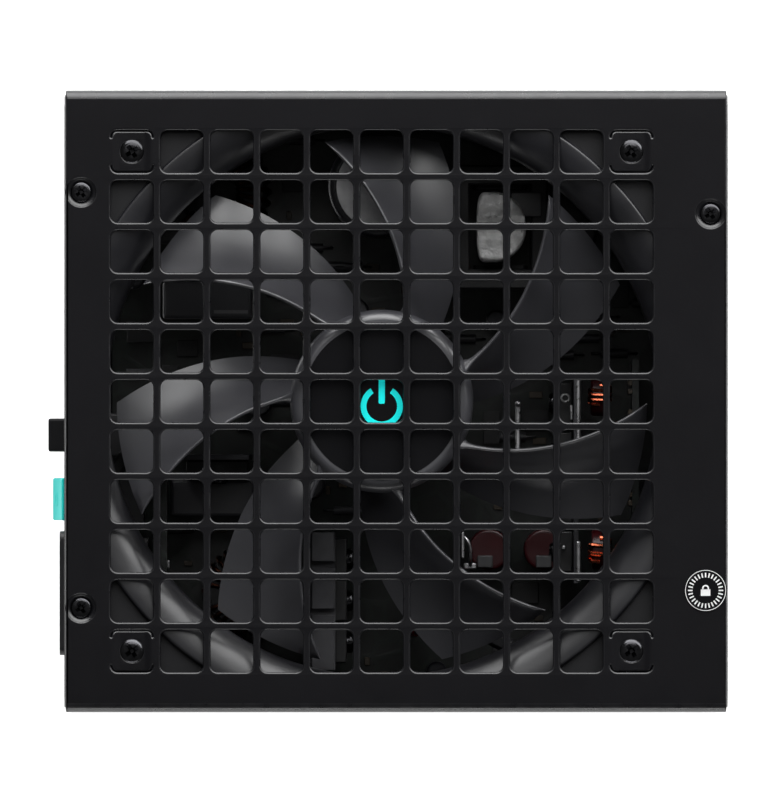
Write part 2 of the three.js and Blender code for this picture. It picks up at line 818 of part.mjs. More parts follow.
function inletPin(y, z) {
  const [w, h] = PIN;
  const [tip, tail] = PIN_REACH;
  const [shoulder, taper] = [tip + 1.4, 1];
  // Drawn in ZX, pointing out of the inlet
  const blade = polygon([
    [z - h / 2, tail],
    [z - h / 2, shoulder],
    [z - h / 2 + taper, tip],
    [z + h / 2 - taper, tip],
    [z + h / 2, shoulder],
    [z + h / 2, tail],
  ]);
  return alongY(blade, y - w / 2, y + w / 2);
}

function switchOuter() {
  return [ROCKER[0] + 2 * (GAP + SWITCH_WALL), ROCKER[1] + 3.6];
}

function buttonOuter() {
  return [BUTTON + 2 * (GAP + 1), BUTTON + 2 * (GAP + 1)];
}

function switchHousing() {
  const [w, h] = switchOuter();
  const face = -DEPTH / 2;
  const body = alongX(rectangle(0, 0, w, h, 0.6), face, face + 19, 1);
  const well = rectangle(0, 0, w - 2 * SWITCH_WALL, ROCKER[1] + 1.8, 0.4);
  const cavity = alongX(well, face - 1, face + 15, 1);
  const bores = alongY(circle(0, PIVOT_X, PIVOT_R + RUNNING), -w, w, 8);
  return cut(body, cavity, bores);
}

// The rocker is drawn level about its pivot and then tipped to its stop
function powerRocker() {
  const [half, out] = [ROCKER[1] / 2, -ROCKER_PROUD];
  const face = new THREE.Shape();
  face.moveTo(-half + 1, 1.2);
  face.lineTo(-half, 0);
  face.lineTo(-half, out + 0.6);
  face.lineTo(-half + 0.6, out);
  face.quadraticCurveTo(0, out + 1.1, half - 0.6, out);
  face.lineTo(half, out + 0.6);
  face.lineTo(half, 0);
  face.lineTo(half - 1, 1.2);
  const bar = alongY(face, -ROCKER[0] / 2, ROCKER[0] / 2, 6);
  const reach = ROCKER[0] / 2 + GAP + SWITCH_WALL - 0.15;
  return join(bar, alongY(circle(0, 0, PIVOT_R), -reach, reach, 8));
}

function buttonHousing() {
  const [w, h] = buttonOuter();
  const face = -DEPTH / 2;
  const body = alongX(rectangle(0, 0, w, h, 0.6), face, face + 19, 1);
  const bore = rectangle(0, 0, BUTTON + 2 * GAP, BUTTON + 2 * GAP, 0.2);
  return cut(body, alongX(bore, face - 1, face + 17, 1));
}

function fanModeButton() {
  const face = -DEPTH / 2;
  const cap = alongX(rectangle(0, 0, BUTTON, BUTTON, 0.3), face - BUTTON_PROUD, face + 8, 1);
  const stem = block([face + 7, face + 14], [-2, 2], [-2, 2]);
  return join(cap, stem);
}

function filterBoard() {
  const board = chamfered(-38.5, MAINS_Z - 1, 47, 30, 1);
  const [back, front] = [FILTER_BOARD_X, FILTER_BOARD_X + BOARD];
  const slots = inletPins().map(([, y, z]) => {
    const [a, b] = [INLET_Y + y, MAINS_Z + z];
    return alongX(rectangle(a, b, PIN[0] + 2 * GAP, PIN[1] + 2 * GAP, 0.2), back - 3, front + 3, 1);
  });
  return cut(alongX(board, back, front), ...slots);
}

function mains() {
  const group = new THREE.Group();
  group.position.z = MAINS_Z;
  const inlet = new THREE.Group();
  inlet.position.set(-DEPTH / 2, INLET_Y, 0);
  group.add(inlet);
  add(inlet, "inlet_housing", inletHousing(), BLACK_PLASTIC);
  for (const [name, y, z] of inletPins()) {
    add(inlet, name, inletPin(y, z), BRIGHT_STEEL);
  }
  add(group, "switch_housing", switchHousing(), BLACK_PLASTIC, [0, ROCKER_Y, 0]);
  const rocker = add(group, "power_rocker", powerRocker(), TEAL, [PIVOT_X, ROCKER_Y, 0]);
  rocker.rotation.y = THREE.MathUtils.degToRad(ROCKER_TILT);
  add(group, "button_housing", buttonHousing(), BLACK_PLASTIC, [0, BUTTON_Y, 0]);
  add(group, "fan_mode_button", fanModeButton(), BLACK_PLASTIC, [0, BUTTON_Y, 0]);
  add(group, "filter_board", filterBoard(), CIRCUIT, [0, 0, -MAINS_Z]);
  const foot = BOARD_TOP + GAP - MAINS_Z;
  for (const [name, y] of LEADS) {
    const route = [
      [FILTER_BOARD_X + 2.1, y, -8],
      [FILTER_BOARD_X + 3.6, y, -8],
      [LEAD_X - 0.7, y, -11],
      [LEAD_X, y, foot + 5],
      [LEAD_X, y, foot],
    ];
    add(group, name, lead(route, LEAD_R, 10), SLEEVE);
  }
  return group;
}

// ---- Modular face ----

function socketPlaces() {
  const places = [];
  for (const { z, space, list } of SOCKET_ROWS) {
    const widths = list.map(([, cavity]) => cavity + 0.4 + 2 * SOCKET_WALL);
    const total = widths.reduce((sum, w) => sum + w, 0) + space * (list.length - 1);
    let left = -total / 2;
    list.forEach(([name], i) => {
      const [width, height] = [widths[i], SOCKET_H + 2 * SOCKET_WALL];
      places.push({ name, y: left + width / 2, z, width, height });
      left += width + space;
    });
  }
  return places;
}

function socket({ width, height }) {
  const face = DEPTH / 2;
  const shell = alongX(chamfered(0, 0, width, height, 0.4), MODULAR_X + BOARD + SEAT, face);
  const [w, h] = [width - 2 * SOCKET_WALL, height - 2 * SOCKET_WALL];
  return cut(shell, alongX(chamfered(0, 0, w, h, 0.3), face - SOCKET_DEPTH, face + 1));
}

function modularFace(sockets) {
  const group = new THREE.Group();
  const board = alongX(chamfered(0, 41.5, 128, 66, 1.5), MODULAR_X, MODULAR_X + BOARD);
  add(group, "modular_board", board, CIRCUIT);
  for (const place of sockets) {
    add(group, place.name, socket(place), BLACK_PLASTIC, [0, place.y, place.z]);
  }
  return group;
}

// ---- Main board and what stands on it ----

function mainBoard() {
  const [x0, x1] = BOARD_X;
  const board = chamfered((x0 + x1) / 2, 0, x1 - x0, 2 * BOARD_Y, 1.5);
  board.holes.push(...STANDOFFS.map(([x, y]) => circle(x, y, 1.9)));
  return alongZ(board, BOARD_Z, BOARD_TOP, 5);
}

// Drawn about its own centre, with the centre leg along Y
function transformerCore() {
  const { core, window, reach } = TRANSFORMER;
  const yoke = rectangle(0, 0, core[0], core[1], 0.8);
  yoke.holes.push(...[-reach, reach].map((x) => rectangle(x, 0, ...window, 0.3)));
  return alongZ(yoke, -core[2] / 2, core[2] / 2, 1);
}

function transformerWinding() {
  const { core, window, reach } = TRANSFORMER;
  const [x, y, z] = WINDING;
  const coil = alongY(rectangle(0, 0, z, x, 1.5), -y / 2, y / 2, 2);
  const leg = reach - window[0] / 2 + GAP;
  const rise = core[2] / 2 + GAP;
  return cut(coil, block([-leg, leg], [-y, y], [-rise, rise]));
}

// A can with its top edge and its foot rounded off
function can(radius, base, top, round, sides) {
  const profile = [
    [0, base],
    [radius - round, base],
    [radius, base + round],
    [radius, top - round],
    [radius - round, top],
    [0, top],
  ];
  return turned(profile, sides);
}

// Two chokes lie flat on the board and two stand beside the converter's board
function chokes(group, base) {
  for (const { name, place, inner, outer, rise, sides } of FLAT_CHOKES) {
    add(group, name, ring(inner, outer, base, base + rise, sides), COPPER, [...place, 0]);
  }
  const { x, y, z, inner, outer, width } = DCDC_CHOKES;
  y.forEach((middle, i) => {
    const toroid = ring(inner, outer, -width / 2, width / 2, 18);
    const choke = add(group, `dcdc_choke_${i + 1}`, toroid, COPPER, [x, middle, z]);
    choke.rotation.y = Math.PI / 2;
  });
}

function capacitors(group, base) {
  const { place, radius, top } = BULK_CAPACITOR;
  add(group, "bulk_capacitor", can(radius, base, top, 1.5, 20), SLEEVE, [...place, 0]);
  OUTPUT_CAPACITORS.x.forEach((x, i) => {
    const small = can(OUTPUT_CAPACITORS.radius, base, OUTPUT_CAPACITORS.top, 0.8, 16);
    add(group, `output_capacitor_${i + 1}`, small, SLEEVE, [x, OUTPUT_CAPACITORS.y, 0]);
  });
  for (const { name, place: [x, y], width } of FILM_CAPACITORS) {
    const box = alongZ(rectangle(x, y, width, FILM_DEPTH, 0.8), base, FILM_TOP, 2);
    add(group, name, box, GREY_RESIN);
  }
}

function heatsinks(group, base) {
  const { x, y, web, rim, neck, top } = PRIMARY_HEATSINK;
  // Drawn in ZX: a web that stands on the board under a thicker rim
  const tee = polygon([
    [base, -web / 2],
    [neck, -web / 2],
    [neck, -rim / 2],
    [top, -rim / 2],
    [top, rim / 2],
    [neck, rim / 2],
    [neck, web / 2],
    [base, web / 2],
  ]);
  add(group, "primary_heatsink", alongY(tee, ...y), ALUMINIUM, [x, 0, 0]);
  const plates = [
    ["secondary_heatsink", SECONDARY_HEATSINK],
    ["bridge_heatsink", BRIDGE_HEATSINK],
  ];
  for (const [name, plate] of plates) {
    add(group, name, block(plate.x, plate.y, [base, plate.top]), ALUMINIUM);
  }
}

function electronics() {
  const group = new THREE.Group();
  const base = BOARD_TOP + SEAT;
  add(group, "main_board", mainBoard(), CIRCUIT);
  const transformer = new THREE.Group();
  transformer.position.set(...TRANSFORMER.place);
  group.add(transformer);
  add(transformer, "transformer_core", transformerCore(), FERRITE);
  add(transformer, "transformer_winding", transformerWinding(), TAPE);
  chokes(group, base);
  capacitors(group, base);
  heatsinks(group, base);
  const { x, y, top } = DCDC_BOARD;
  add(group, "dcdc_board", block([x, x + BOARD], y, [base, top]), CIRCUIT);
  return group;
}

// ---- The whole unit ----

const sockets = socketPlaces();
const powerSupply = new THREE.Group();
powerSupply.add(casing(sockets), fan(), mains(), modularFace(sockets), electronics());

export default powerSupply;
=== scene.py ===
# The looks of a fully modular ATX power supply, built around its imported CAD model.
# Lengths in this script are millimetres unless a name says otherwise; Blender's are metres.
import math
import random

import bmesh
import bpy
from mathutils import Matrix, Vector
from mathutils.noise import fractal


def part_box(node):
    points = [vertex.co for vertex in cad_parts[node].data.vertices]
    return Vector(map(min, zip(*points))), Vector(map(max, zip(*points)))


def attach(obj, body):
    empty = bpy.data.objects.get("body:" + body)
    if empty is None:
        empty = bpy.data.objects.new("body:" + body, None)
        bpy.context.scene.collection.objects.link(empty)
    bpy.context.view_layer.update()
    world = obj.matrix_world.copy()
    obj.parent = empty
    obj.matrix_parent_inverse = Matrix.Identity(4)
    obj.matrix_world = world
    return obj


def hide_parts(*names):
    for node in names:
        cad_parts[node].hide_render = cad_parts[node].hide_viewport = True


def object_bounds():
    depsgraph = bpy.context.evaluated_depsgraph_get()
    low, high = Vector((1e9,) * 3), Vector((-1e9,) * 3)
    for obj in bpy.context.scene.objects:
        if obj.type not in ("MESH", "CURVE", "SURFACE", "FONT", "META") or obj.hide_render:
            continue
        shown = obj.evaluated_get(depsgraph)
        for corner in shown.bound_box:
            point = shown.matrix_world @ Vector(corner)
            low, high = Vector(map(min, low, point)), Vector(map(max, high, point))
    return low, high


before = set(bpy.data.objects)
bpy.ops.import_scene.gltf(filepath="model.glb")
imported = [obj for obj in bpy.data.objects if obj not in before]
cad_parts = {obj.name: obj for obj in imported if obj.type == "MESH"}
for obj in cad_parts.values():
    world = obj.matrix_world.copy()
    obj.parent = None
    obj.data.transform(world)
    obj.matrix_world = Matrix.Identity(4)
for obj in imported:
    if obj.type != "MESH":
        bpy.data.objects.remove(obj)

MM = 0.001
CAD_BOX = [[float(value) for value in corner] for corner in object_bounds()]


# ---- Places, worked out from the frame ----

def span(node):
    low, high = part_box(node)
    return Vector(low) / MM, Vector(high) / MM


def middle(node):
    low, high = span(node)
    return (low + high) / 2


COVER_LOW, COVER_HIGH = span("top_cover")
CHASSIS_HIGH = span("lower_chassis")[1]
FAN_LOW, FAN_HIGH = span("fan_frame")
HUB_LOW = span("hub_label")[0]
CASE_TOP = COVER_HIGH.z
HALF_WIDTH = COVER_HIGH.y
COVER_END = COVER_HIGH.x
FACE = CHASSIS_HIGH.x  # mains and modular faces are this far from the origin
FAN = Vector(((FAN_LOW.x + FAN_HIGH.x) / 2, 0, 0))
MAINS_Z = middle("inlet_housing").z

# Sheet metal
STEEL = 0.9
COVER_BEND = 2.2
CHASSIS_BEND = 1.6
EDGE = 0.42  # rounding of a punched edge of the cover
CUT_OUT_GAP = 0.6  # how much wider a cut-out is than its housing
CHASSIS_FLANGE = 8.3  # reach of the chassis's flanges under the cover
CHASSIS_LIP = 10  # height of its flange along each long side
SCREW_HOLE_R, FAN_SCREW_HOLE_R = 3.4, 2.6  # holes of the cover
SLIT = 0.2  # width of the slits beside a corner pad

# Grille
CELLS = 11
PITCH = 12.04
CELL = 10.25
CELL_CORNER = 1.7
FAN_HOLE = (CELLS - 1) / 2 * PITCH
PAD_DEPTH = 0.5
PAD_SLOPE = 2.2  # width of the slope at each end of a pad

# Fan
THROAT_R = 66.5
RIDGE_R = 76.4
HUB_R = 22.1
HUB_FLAT_R = 19.6
HUB_TOP = HUB_LOW.z - 0.05
BLADES = 7
TIP_R = 64
LEAD_ROOT, LEAD_TIP = 332.3, 359.6  # a blade's leading edge at the hub and at the tip, degrees
CHORD_ROOT, CHORD_TIP = 24, 25  # degrees that it covers
BLADE_HALF = 0.62  # half of its thickness at the nose
BLADE_THINNING = 0.62  # share of that which is gone at the trailing edge
CAMBER = 0.07  # of the chord
STRUTS = (1, 3, 4, 6)  # the motor seat's struts lie under these blades

COVER_SCREWS = [middle(f"cover_screw_{i}") for i in (1, 2, 3, 4)]
FAN_SCREWS = [middle(f"fan_screw_{i}") for i in (1, 2, 3, 4)]
BOARD_SCREWS = [middle(f"board_screw_{i}") for i in (1, 2, 3, 4)]
ATX_HOLES = [(69, 6), (-69, 6), (69, 70), (-45, 80)]
ATX_HOLE_R = 1.75
HEX_PITCH = 9.6
HEX_FLAT = 8
VENT_SIDE, VENT_LOW, VENT_TOP = 10.5, 10, 9  # solid margins around the honeycomb
SOCKETS = [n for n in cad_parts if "_socket_" in n]
BOARD_TOP = span("main_board")[1].z


# ---- Materials ----

def new_material(name, colour, roughness, metallic=0.0, **sockets):
    """A Principled material; extra words set its other sockets, such as coat_weight."""
    material = bpy.data.materials.new(name)
    material.use_nodes = True
    shader = material.node_tree.nodes["Principled BSDF"]
    shader.inputs["Base Color"].default_value = (*colour, 1)
    shader.inputs["Roughness"].default_value = roughness
    shader.inputs["Metallic"].default_value = metallic
    for word, value in sockets.items():
        shader.inputs[word.replace("_", " ").title().replace("Ior", "IOR")].default_value = value
    return material


def node_of(material, kind, **values):
    node = material.node_tree.nodes.new(kind)
    for word, value in values.items():
        setattr(node, word, value)
    return node


def wire(material, source, target):
    material.node_tree.links.new(source, target)


def noise(material, scale, detail=3.0, stretch=(1, 1, 1)):
    """Noise in the piece's own coordinates; scale is in features to the metre."""
    place = node_of(material, "ShaderNodeTexCoord")
    mapping = node_of(material, "ShaderNodeMapping")
    mapping.inputs["Scale"].default_value = stretch
    texture = node_of(material, "ShaderNodeTexNoise")
    texture.inputs["Scale"].default_value = scale
    texture.inputs["Detail"].default_value = detail
    wire(material, place.outputs["Object"], mapping.inputs["Vector"])
    wire(material, mapping.outputs["Vector"], texture.inputs["Vector"])
    return texture.outputs["Fac"]


def ranged(material, source, low, high, start=0.3, end=0.7):
    node = node_of(material, "ShaderNodeMapRange")
    for word, value in (("From Min", start), ("From Max", end), ("To Min", low), ("To Max", high)):
        node.inputs[word].default_value = value
    wire(material, source, node.inputs["Value"])
    return node.outputs["Result"]


def shader_of(material):
    return material.node_tree.nodes["Principled BSDF"]


def bump(material, source, strength, distance_mm):
    node = node_of(material, "ShaderNodeBump")
    node.inputs["Strength"].default_value = strength
    node.inputs["Distance"].default_value = distance_mm * MM
    before = shader_of(material).inputs["Normal"]
    if before.is_linked:
        wire(material, before.links[0].from_socket, node.inputs["Normal"])
    wire(material, source, node.inputs["Height"])
    wire(material, node.outputs["Normal"], before)


def tint(material, source, dark, light, start=0.3, end=0.7):
    """Varies the colour between two values as the source goes from start to end."""
    ramp = node_of(material, "ShaderNodeValToRGB")
    ramp.color_ramp.elements[0].position = start
    ramp.color_ramp.elements[0].color = (*dark, 1)
    ramp.color_ramp.elements[1].position = end
    ramp.color_ramp.elements[1].color = (*light, 1)
    wire(material, source, ramp.inputs["Fac"])
    wire(material, ramp.outputs["Color"], shader_of(material).inputs["Base Color"])


def vary_roughness(material, source, low, high):
    wire(material, ranged(material, source, low, high), shader_of(material).inputs["Roughness"])


def powder_coat():
    m = new_material("powder_coat", (0.0020, 0.0019, 0.0027), 0.55, specular_ior_level=0.12)
    grain = noise(m, 2600, 2)
    bump(m, grain, 0.35, 0.05)
    bump(m, noise(m, 420, 3), 0.2, 0.06)
    tint(m, noise(m, 55, 4), (0.0017, 0.0016, 0.0024), (0.0024, 0.0023, 0.0033))
    vary_roughness(m, noise(m, 130, 3), 0.5, 0.6)
    return m


def edge_sheen_coat():
    """A lighter, glossier copy of the coat for the punched edges, dishes and bends: painted sheen, so that they
    show bright lines.
    """
    m = new_material("edge_sheen_coat", (0.003, 0.003, 0.004), 0.3, specular_ior_level=0.6)
    tint(m, noise(m, 90, 3), (0.002, 0.002, 0.003), (0.004, 0.004, 0.005))
    vary_roughness(m, noise(m, 300, 3), 0.24, 0.36)
    bump(m, noise(m, 1500, 2), 0.15, 0.02)
    return m


def moulded(name, dark, light, low, high, grain=900, depth=0.02, **sockets):
    """Moulded plastic: faint colour drift, uneven gloss and a fine moulded grain."""
    m = new_material(name, light, (low + high) / 2, **sockets)
    tint(m, noise(m, 40, 3), dark, light)
    vary_roughness(m, noise(m, 90, 4), low, high)
    bump(m, noise(m, grain, 3), 0.3, depth)
    return m


def metal(name, dark, light, low, high, stretch=(1, 1, 1), scale=900, depth=0.01):
    """Bare or plated metal, with drawn or rolled lines where stretch isn't even."""
    m = new_material(name, light, (low + high) / 2, 1.0)
    lines = noise(m, scale, 4, stretch)
    tint(m, noise(m, 70, 4), dark, light)
    vary_roughness(m, lines, low, high)
    bump(m, lines, 0.25, depth)
    return m


STEEL_COAT = powder_coat()
SHEEN_COAT = edge_sheen_coat()
BLADE_PLASTIC = moulded("blade_plastic", (0.030, 0.030, 0.034), (0.040, 0.040, 0.045), 0.28, 0.38, 500, 0.012,
                        specular_ior_level=0.8)
FRAME_PLASTIC = moulded("frame_plastic", (0.005, 0.005, 0.006), (0.008, 0.008, 0.010), 0.3, 0.4, 700, 0.02)
SEAT_PLASTIC = moulded("seat_plastic", (0.003, 0.003, 0.004), (0.005, 0.005, 0.006), 0.5, 0.6, 700, 0.02,
                       specular_ior_level=0.25)
SOCKET_PLASTIC = moulded("socket_plastic", (0.008, 0.008, 0.009), (0.013, 0.013, 0.015), 0.36, 0.5)
BUTTON_PLASTIC = moulded("button_plastic", (0.002, 0.002, 0.003), (0.003, 0.003, 0.004), 0.45, 0.55,
                         specular_ior_level=0.25)
TEAL_PLASTIC = moulded("teal_plastic", (0.006, 0.52, 0.48), (0.010, 0.60, 0.55), 0.45, 0.55,
                       specular_ior_level=0.08)
LABEL_FILM = moulded("label_film", (0.0012, 0.0012, 0.0018), (0.0020, 0.0020, 0.0027), 0.5, 0.6, 1500, 0.01,
                     specular_ior_level=0.08)
TEAL_INK = moulded("teal_ink", (0.001, 0.66, 0.64), (0.003, 0.75, 0.74), 0.5, 0.6, 1500, 0.01,
                   specular_ior_level=0.2)
WHITE_INK = moulded("white_ink", (0.60, 0.60, 0.60), (0.74, 0.74, 0.74), 0.4, 0.55, 1500, 0.01)
GREY_INK = moulded("grey_ink", (0.10, 0.10, 0.105), (0.14, 0.14, 0.145), 0.4, 0.55, 1500, 0.01)
BLACK_SCREW = metal("black_screw", (0.035, 0.035, 0.037), (0.065, 0.065, 0.07), 0.14, 0.28)
BRIGHT_STEEL = metal("bright_steel", (0.42, 0.42, 0.43), (0.56, 0.56, 0.57), 0.22, 0.38)
DRAWN_STEEL = metal("drawn_steel", (0.38, 0.38, 0.39), (0.5, 0.5, 0.51), 0.2, 0.4, (1, 1, 12), 500)
LID_ALUMINIUM = metal("lid_aluminium", (0.50, 0.50, 0.51), (0.62, 0.62, 0.63), 0.5, 0.65)
DARK_ALUMINIUM = metal("dark_aluminium", (0.05, 0.05, 0.055), (0.09, 0.09, 0.095), 0.4, 0.55, (1, 1, 14), 400)
COPPER = metal("copper_enamel", (0.62, 0.10, 0.05), (0.80, 0.24, 0.12), 0.2, 0.32)
# Copper winding wire darkened to brown-black: painted shade for the windings deep inside the case
SHADED_COPPER = metal("copper_painted_shade", (0.02, 0.008, 0.005), (0.04, 0.016, 0.010), 0.3, 0.45)
BRONZE = metal("bronze", (0.42, 0.27, 0.10), (0.55, 0.37, 0.16), 0.35, 0.5, scale=2400, depth=0.02)
TIN = metal("tin_solder", (0.45, 0.45, 0.46), (0.62, 0.62, 0.63), 0.24, 0.42)
FERRITE = moulded("ferrite", (0.006, 0.006, 0.007), (0.011, 0.011, 0.012), 0.5, 0.7, 1600, 0.04)
FILM = moulded("insulation_film", (0.010, 0.010, 0.012), (0.016, 0.016, 0.018), 0.3, 0.42)
SLEEVE = moulded("shrink_sleeve", (0.008, 0.008, 0.011), (0.014, 0.014, 0.018), 0.22, 0.34, 260, 0.05)
RED_SLEEVE = moulded("red_lacquer", (0.028, 0.0015, 0.003), (0.055, 0.002, 0.004), 0.3, 0.42)
GREY_RESIN = moulded("grey_resin", (0.030, 0.030, 0.034), (0.045, 0.045, 0.050), 0.4, 0.55, 700, 0.05)
CABLE = moulded("cable_jacket", (0.010, 0.010, 0.010), (0.016, 0.016, 0.016), 0.38, 0.5, 700, 0.02)
RED_CABLE = moulded("red_jacket", (0.30, 0.012, 0.01), (0.42, 0.02, 0.015), 0.35, 0.5, 700, 0.02)
CERAMIC = moulded("ceramic", (0.030, 0.021, 0.012), (0.050, 0.036, 0.022), 0.4, 0.5, 1400, 0.02)
EPOXY = moulded("epoxy_black", (0.009, 0.009, 0.010), (0.015, 0.015, 0.016), 0.35, 0.5, 1400, 0.02)
CORE_TAPE = moulded("core_tape_film", (0.045, 0.045, 0.047), (0.07, 0.07, 0.073), 0.4, 0.55, 300, 0.1)


def tape_material():
    """Pale polyester tape, crumpled by hand: creases and small wrinkles over a satin film, with painted shade
    of the creases blotched into its colour.
    """
    m = new_material("pale_tape", (0.7, 0.7, 0.7), 0.4, coat_weight=0.2)
    # Light and dark blotches over the pale colour: painted shade of the creases
    tint(m, noise(m, 260, 5), (0.40, 0.40, 0.40), (0.86, 0.86, 0.85))
    vary_roughness(m, noise(m, 200, 3), 0.3, 0.5)
    bump(m, noise(m, 420, 5), 0.8, 1.1)
    return m


def board_material():
    """Solder mask over copper tracks: the tracks are cells of noise a little lighter and raised."""
    m = new_material("circuit_board", (0.0015, 0.003, 0.002), 0.4, coat_weight=0.1)
    place = node_of(m, "ShaderNodeTexCoord")
    tracks = node_of(m, "ShaderNodeTexVoronoi", feature="DISTANCE_TO_EDGE")
    tracks.inputs["Scale"].default_value = 130
    wire(m, place.outputs["Object"], tracks.inputs["Vector"])
    tint(m, tracks.outputs["Distance"], (0.0030, 0.0070, 0.0045), (0.0012, 0.0026, 0.0018), 0.05, 0.09)
    bump(m, ranged(m, tracks.outputs["Distance"], 1, 0, 0.05, 0.09), 0.4, 0.035)
    vary_roughness(m, noise(m, 200, 3), 0.28, 0.42)
    return m


TAPE = tape_material()
BOARD = board_material()


# ---- Mesh helpers ----

def new_object(name, bm, material, smooth_angle=40):
    """Turns a bmesh drawn in millimetres into an object in metres. material may be a tuple of them."""
    finishes = material if isinstance(material, tuple) else (material,)
    for face in bm.faces:
        face.material_index = min(face.material_index, len(finishes) - 1)
    bmesh.ops.remove_doubles(bm, verts=bm.verts, dist=1e-4)
    bmesh.ops.recalc_face_normals(bm, faces=bm.faces)
    mesh = bpy.data.meshes.new(name)
    bm.to_mesh(mesh)
    bm.free()
    mesh.transform(Matrix.Scale(MM, 4))
    for finish in finishes:
        mesh.materials.append(finish)
    mesh.shade_smooth()
    mesh.set_sharp_from_angle(angle=math.radians(smooth_angle))
    obj = bpy.data.objects.new(name, mesh)
    bpy.context.collection.objects.link(obj)
    return obj


def settle(obj, slot, nodes=(), body="case"):
    """Rides a piece on its body, in place of the CAD nodes named. Flat faces keep flat shading."""
    modified(obj, "WEIGHTED_NORMAL", keep_sharp=True, weight=80)
    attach(obj, body)
    if nodes:
        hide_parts(*nodes)
    return obj


def piece(name, bm, material, slot, nodes=(), body="case", angle=40):
    return settle(new_object(name, bm, material, angle), slot, nodes, body)


def modified(obj, kind, **values):
    modifier = obj.modifiers.new(kind.lower(), kind)
    for word, value in values.items():
        setattr(modifier, word, value)
    return modifier


def rounded_edges(obj, width=0.2, segments=2, angle=40):
    modified(obj, "BEVEL", width=width * MM, segments=segments, limit_method="ANGLE",
             angle_limit=math.radians(angle), harden_normals=False)
    return obj


def apply_modifiers(obj):
    graph = bpy.context.evaluated_depsgraph_get()
    mesh = bpy.data.meshes.new_from_object(obj.evaluated_get(graph))
    obj.modifiers.clear()
    obj.data = mesh
    return obj


def boolean(obj, tool, operation="DIFFERENCE"):
    """Cuts or joins a piece with a bmesh, which is used up."""
    other = new_object("tool", tool, obj.data.materials[0])
    modified(obj, "BOOLEAN", object=other, operation=operation, solver="EXACT")
    apply_modifiers(obj)
    bpy.data.objects.remove(other)
    return obj


def merge(bm, other):
    """Adds one bmesh to another, and frees the one added."""
    spare = bpy.data.meshes.new("spare")
    other.to_mesh(spare)
    other.free()
    bm.from_mesh(spare)
    bpy.data.meshes.remove(spare)


def spun(degrees, axis, size=4):
    return Matrix.Rotation(math.radians(degrees), size, axis)


def sharpened(obj, degrees):
    """Marks the sharp edges again, after a boolean."""
    obj.data.shade_smooth()
    obj.data.set_sharp_from_angle(angle=math.radians(degrees))


def cut_across(bm, geometry, place, normal):
    bmesh.ops.bisect_plane(bm, geom=geometry, dist=1e-5, plane_co=place, plane_no=normal)


def everything(bm):
    return bm.verts[:] + bm.edges[:] + bm.faces[:]


def add_box(bm, low, high):
    low, high = Vector(low), Vector(high)
    scale = Matrix.Diagonal((*(high - low), 1))
    return bmesh.ops.create_cube(bm, size=1, matrix=Matrix.Translation((low + high) / 2) @ scale)["verts"]


def box(low, high):
    bm = bmesh.new()
    add_box(bm, low, high)
    return bm


def add_loops(bm, loops, closed=False):
    """Skins a list of equal loops of points. closed joins the last loop to the first."""
    rings = [[bm.verts.new(p) for p in loop] for loop in loops]
    count = len(rings[0])
    pairs = list(zip(rings, rings[1:]))
    if closed:
        pairs.append((rings[-1], rings[0]))
    for a, b in pairs:
        for k in range(count):
            n = (k + 1) % count
            bm.faces.new((a[k], a[n], b[n], b[k]))
    if not closed:
        bm.faces.new(rings[0][::-1])
        bm.faces.new(rings[-1])


def add_turned(bm, profile, segments=64, at=(0, 0, 0), closed=False):
    """Turns a profile of (radius, z) about Z. It starts and ends on the axis unless it is closed."""
    at = Vector(at)
    loops = []
    for k in range(segments):
        angle = 2 * math.pi * k / segments
        loops.append([at + Vector((r * math.cos(angle), r * math.sin(angle), z)) for r, z in profile])
    rings = [[bm.verts.new(p) for p in loop] for loop in loops]
    count = len(profile)
    for a, b in zip(rings, rings[1:] + rings[:1]):
        for k in range(count if closed else count - 1):
            n = (k + 1) % count
            bm.faces.new((a[k], b[k], b[n], a[n]))
    bmesh.ops.remove_doubles(bm, verts=bm.verts, dist=1e-4)
    bmesh.ops.dissolve_degenerate(bm, edges=bm.edges, dist=1e-5)


def turned(profile, segments=64, at=(0, 0, 0), closed=False):
    bm = bmesh.new()
    add_turned(bm, profile, segments, at, closed)
    return bm


def arc(centre, radius, start, end, steps):
    """Points on an arc, angles in degrees."""
    points = []
    for k in range(steps + 1):
        angle = math.radians(start + (end - start) * k / steps)
        points.append((centre[0] + radius * math.cos(angle), centre[1] + radius * math.sin(angle)))
    return points


def rounded_rectangle(a, b, width, height, radius, steps=5):
    p, q = width / 2 - radius, height / 2 - radius
    corners = [(a + p, b - q, -90), (a + p, b + q, 0), (a - p, b + q, 90), (a - p, b - q, 180)]
    return [pt for x, y, start in corners for pt in arc((x, y), radius, start, start + 90, steps)]


def circle(a, b, radius, steps=24):
    return arc((a, b), radius, 0, 360 - 360 / steps, steps - 1)


def hexagon(a, b, across_flats):
    radius = across_flats / math.sqrt(3)
    return arc((a, b), radius, 30, 330, 5)


def add_prism(bm, outline, low, high, axis="z"):
    """An outline drawn in XY, YZ or ZX and run along the third axis."""
    first = 3 - "zxy".index(axis)
    add_loops(bm, [[((a, b, c) * 2)[first:first + 3] for a, b in outline] for c in (low, high)])


def prism(outline, low, high, axis="z"):
    bm = bmesh.new()
    add_prism(bm, outline, low, high, axis)
    return bm


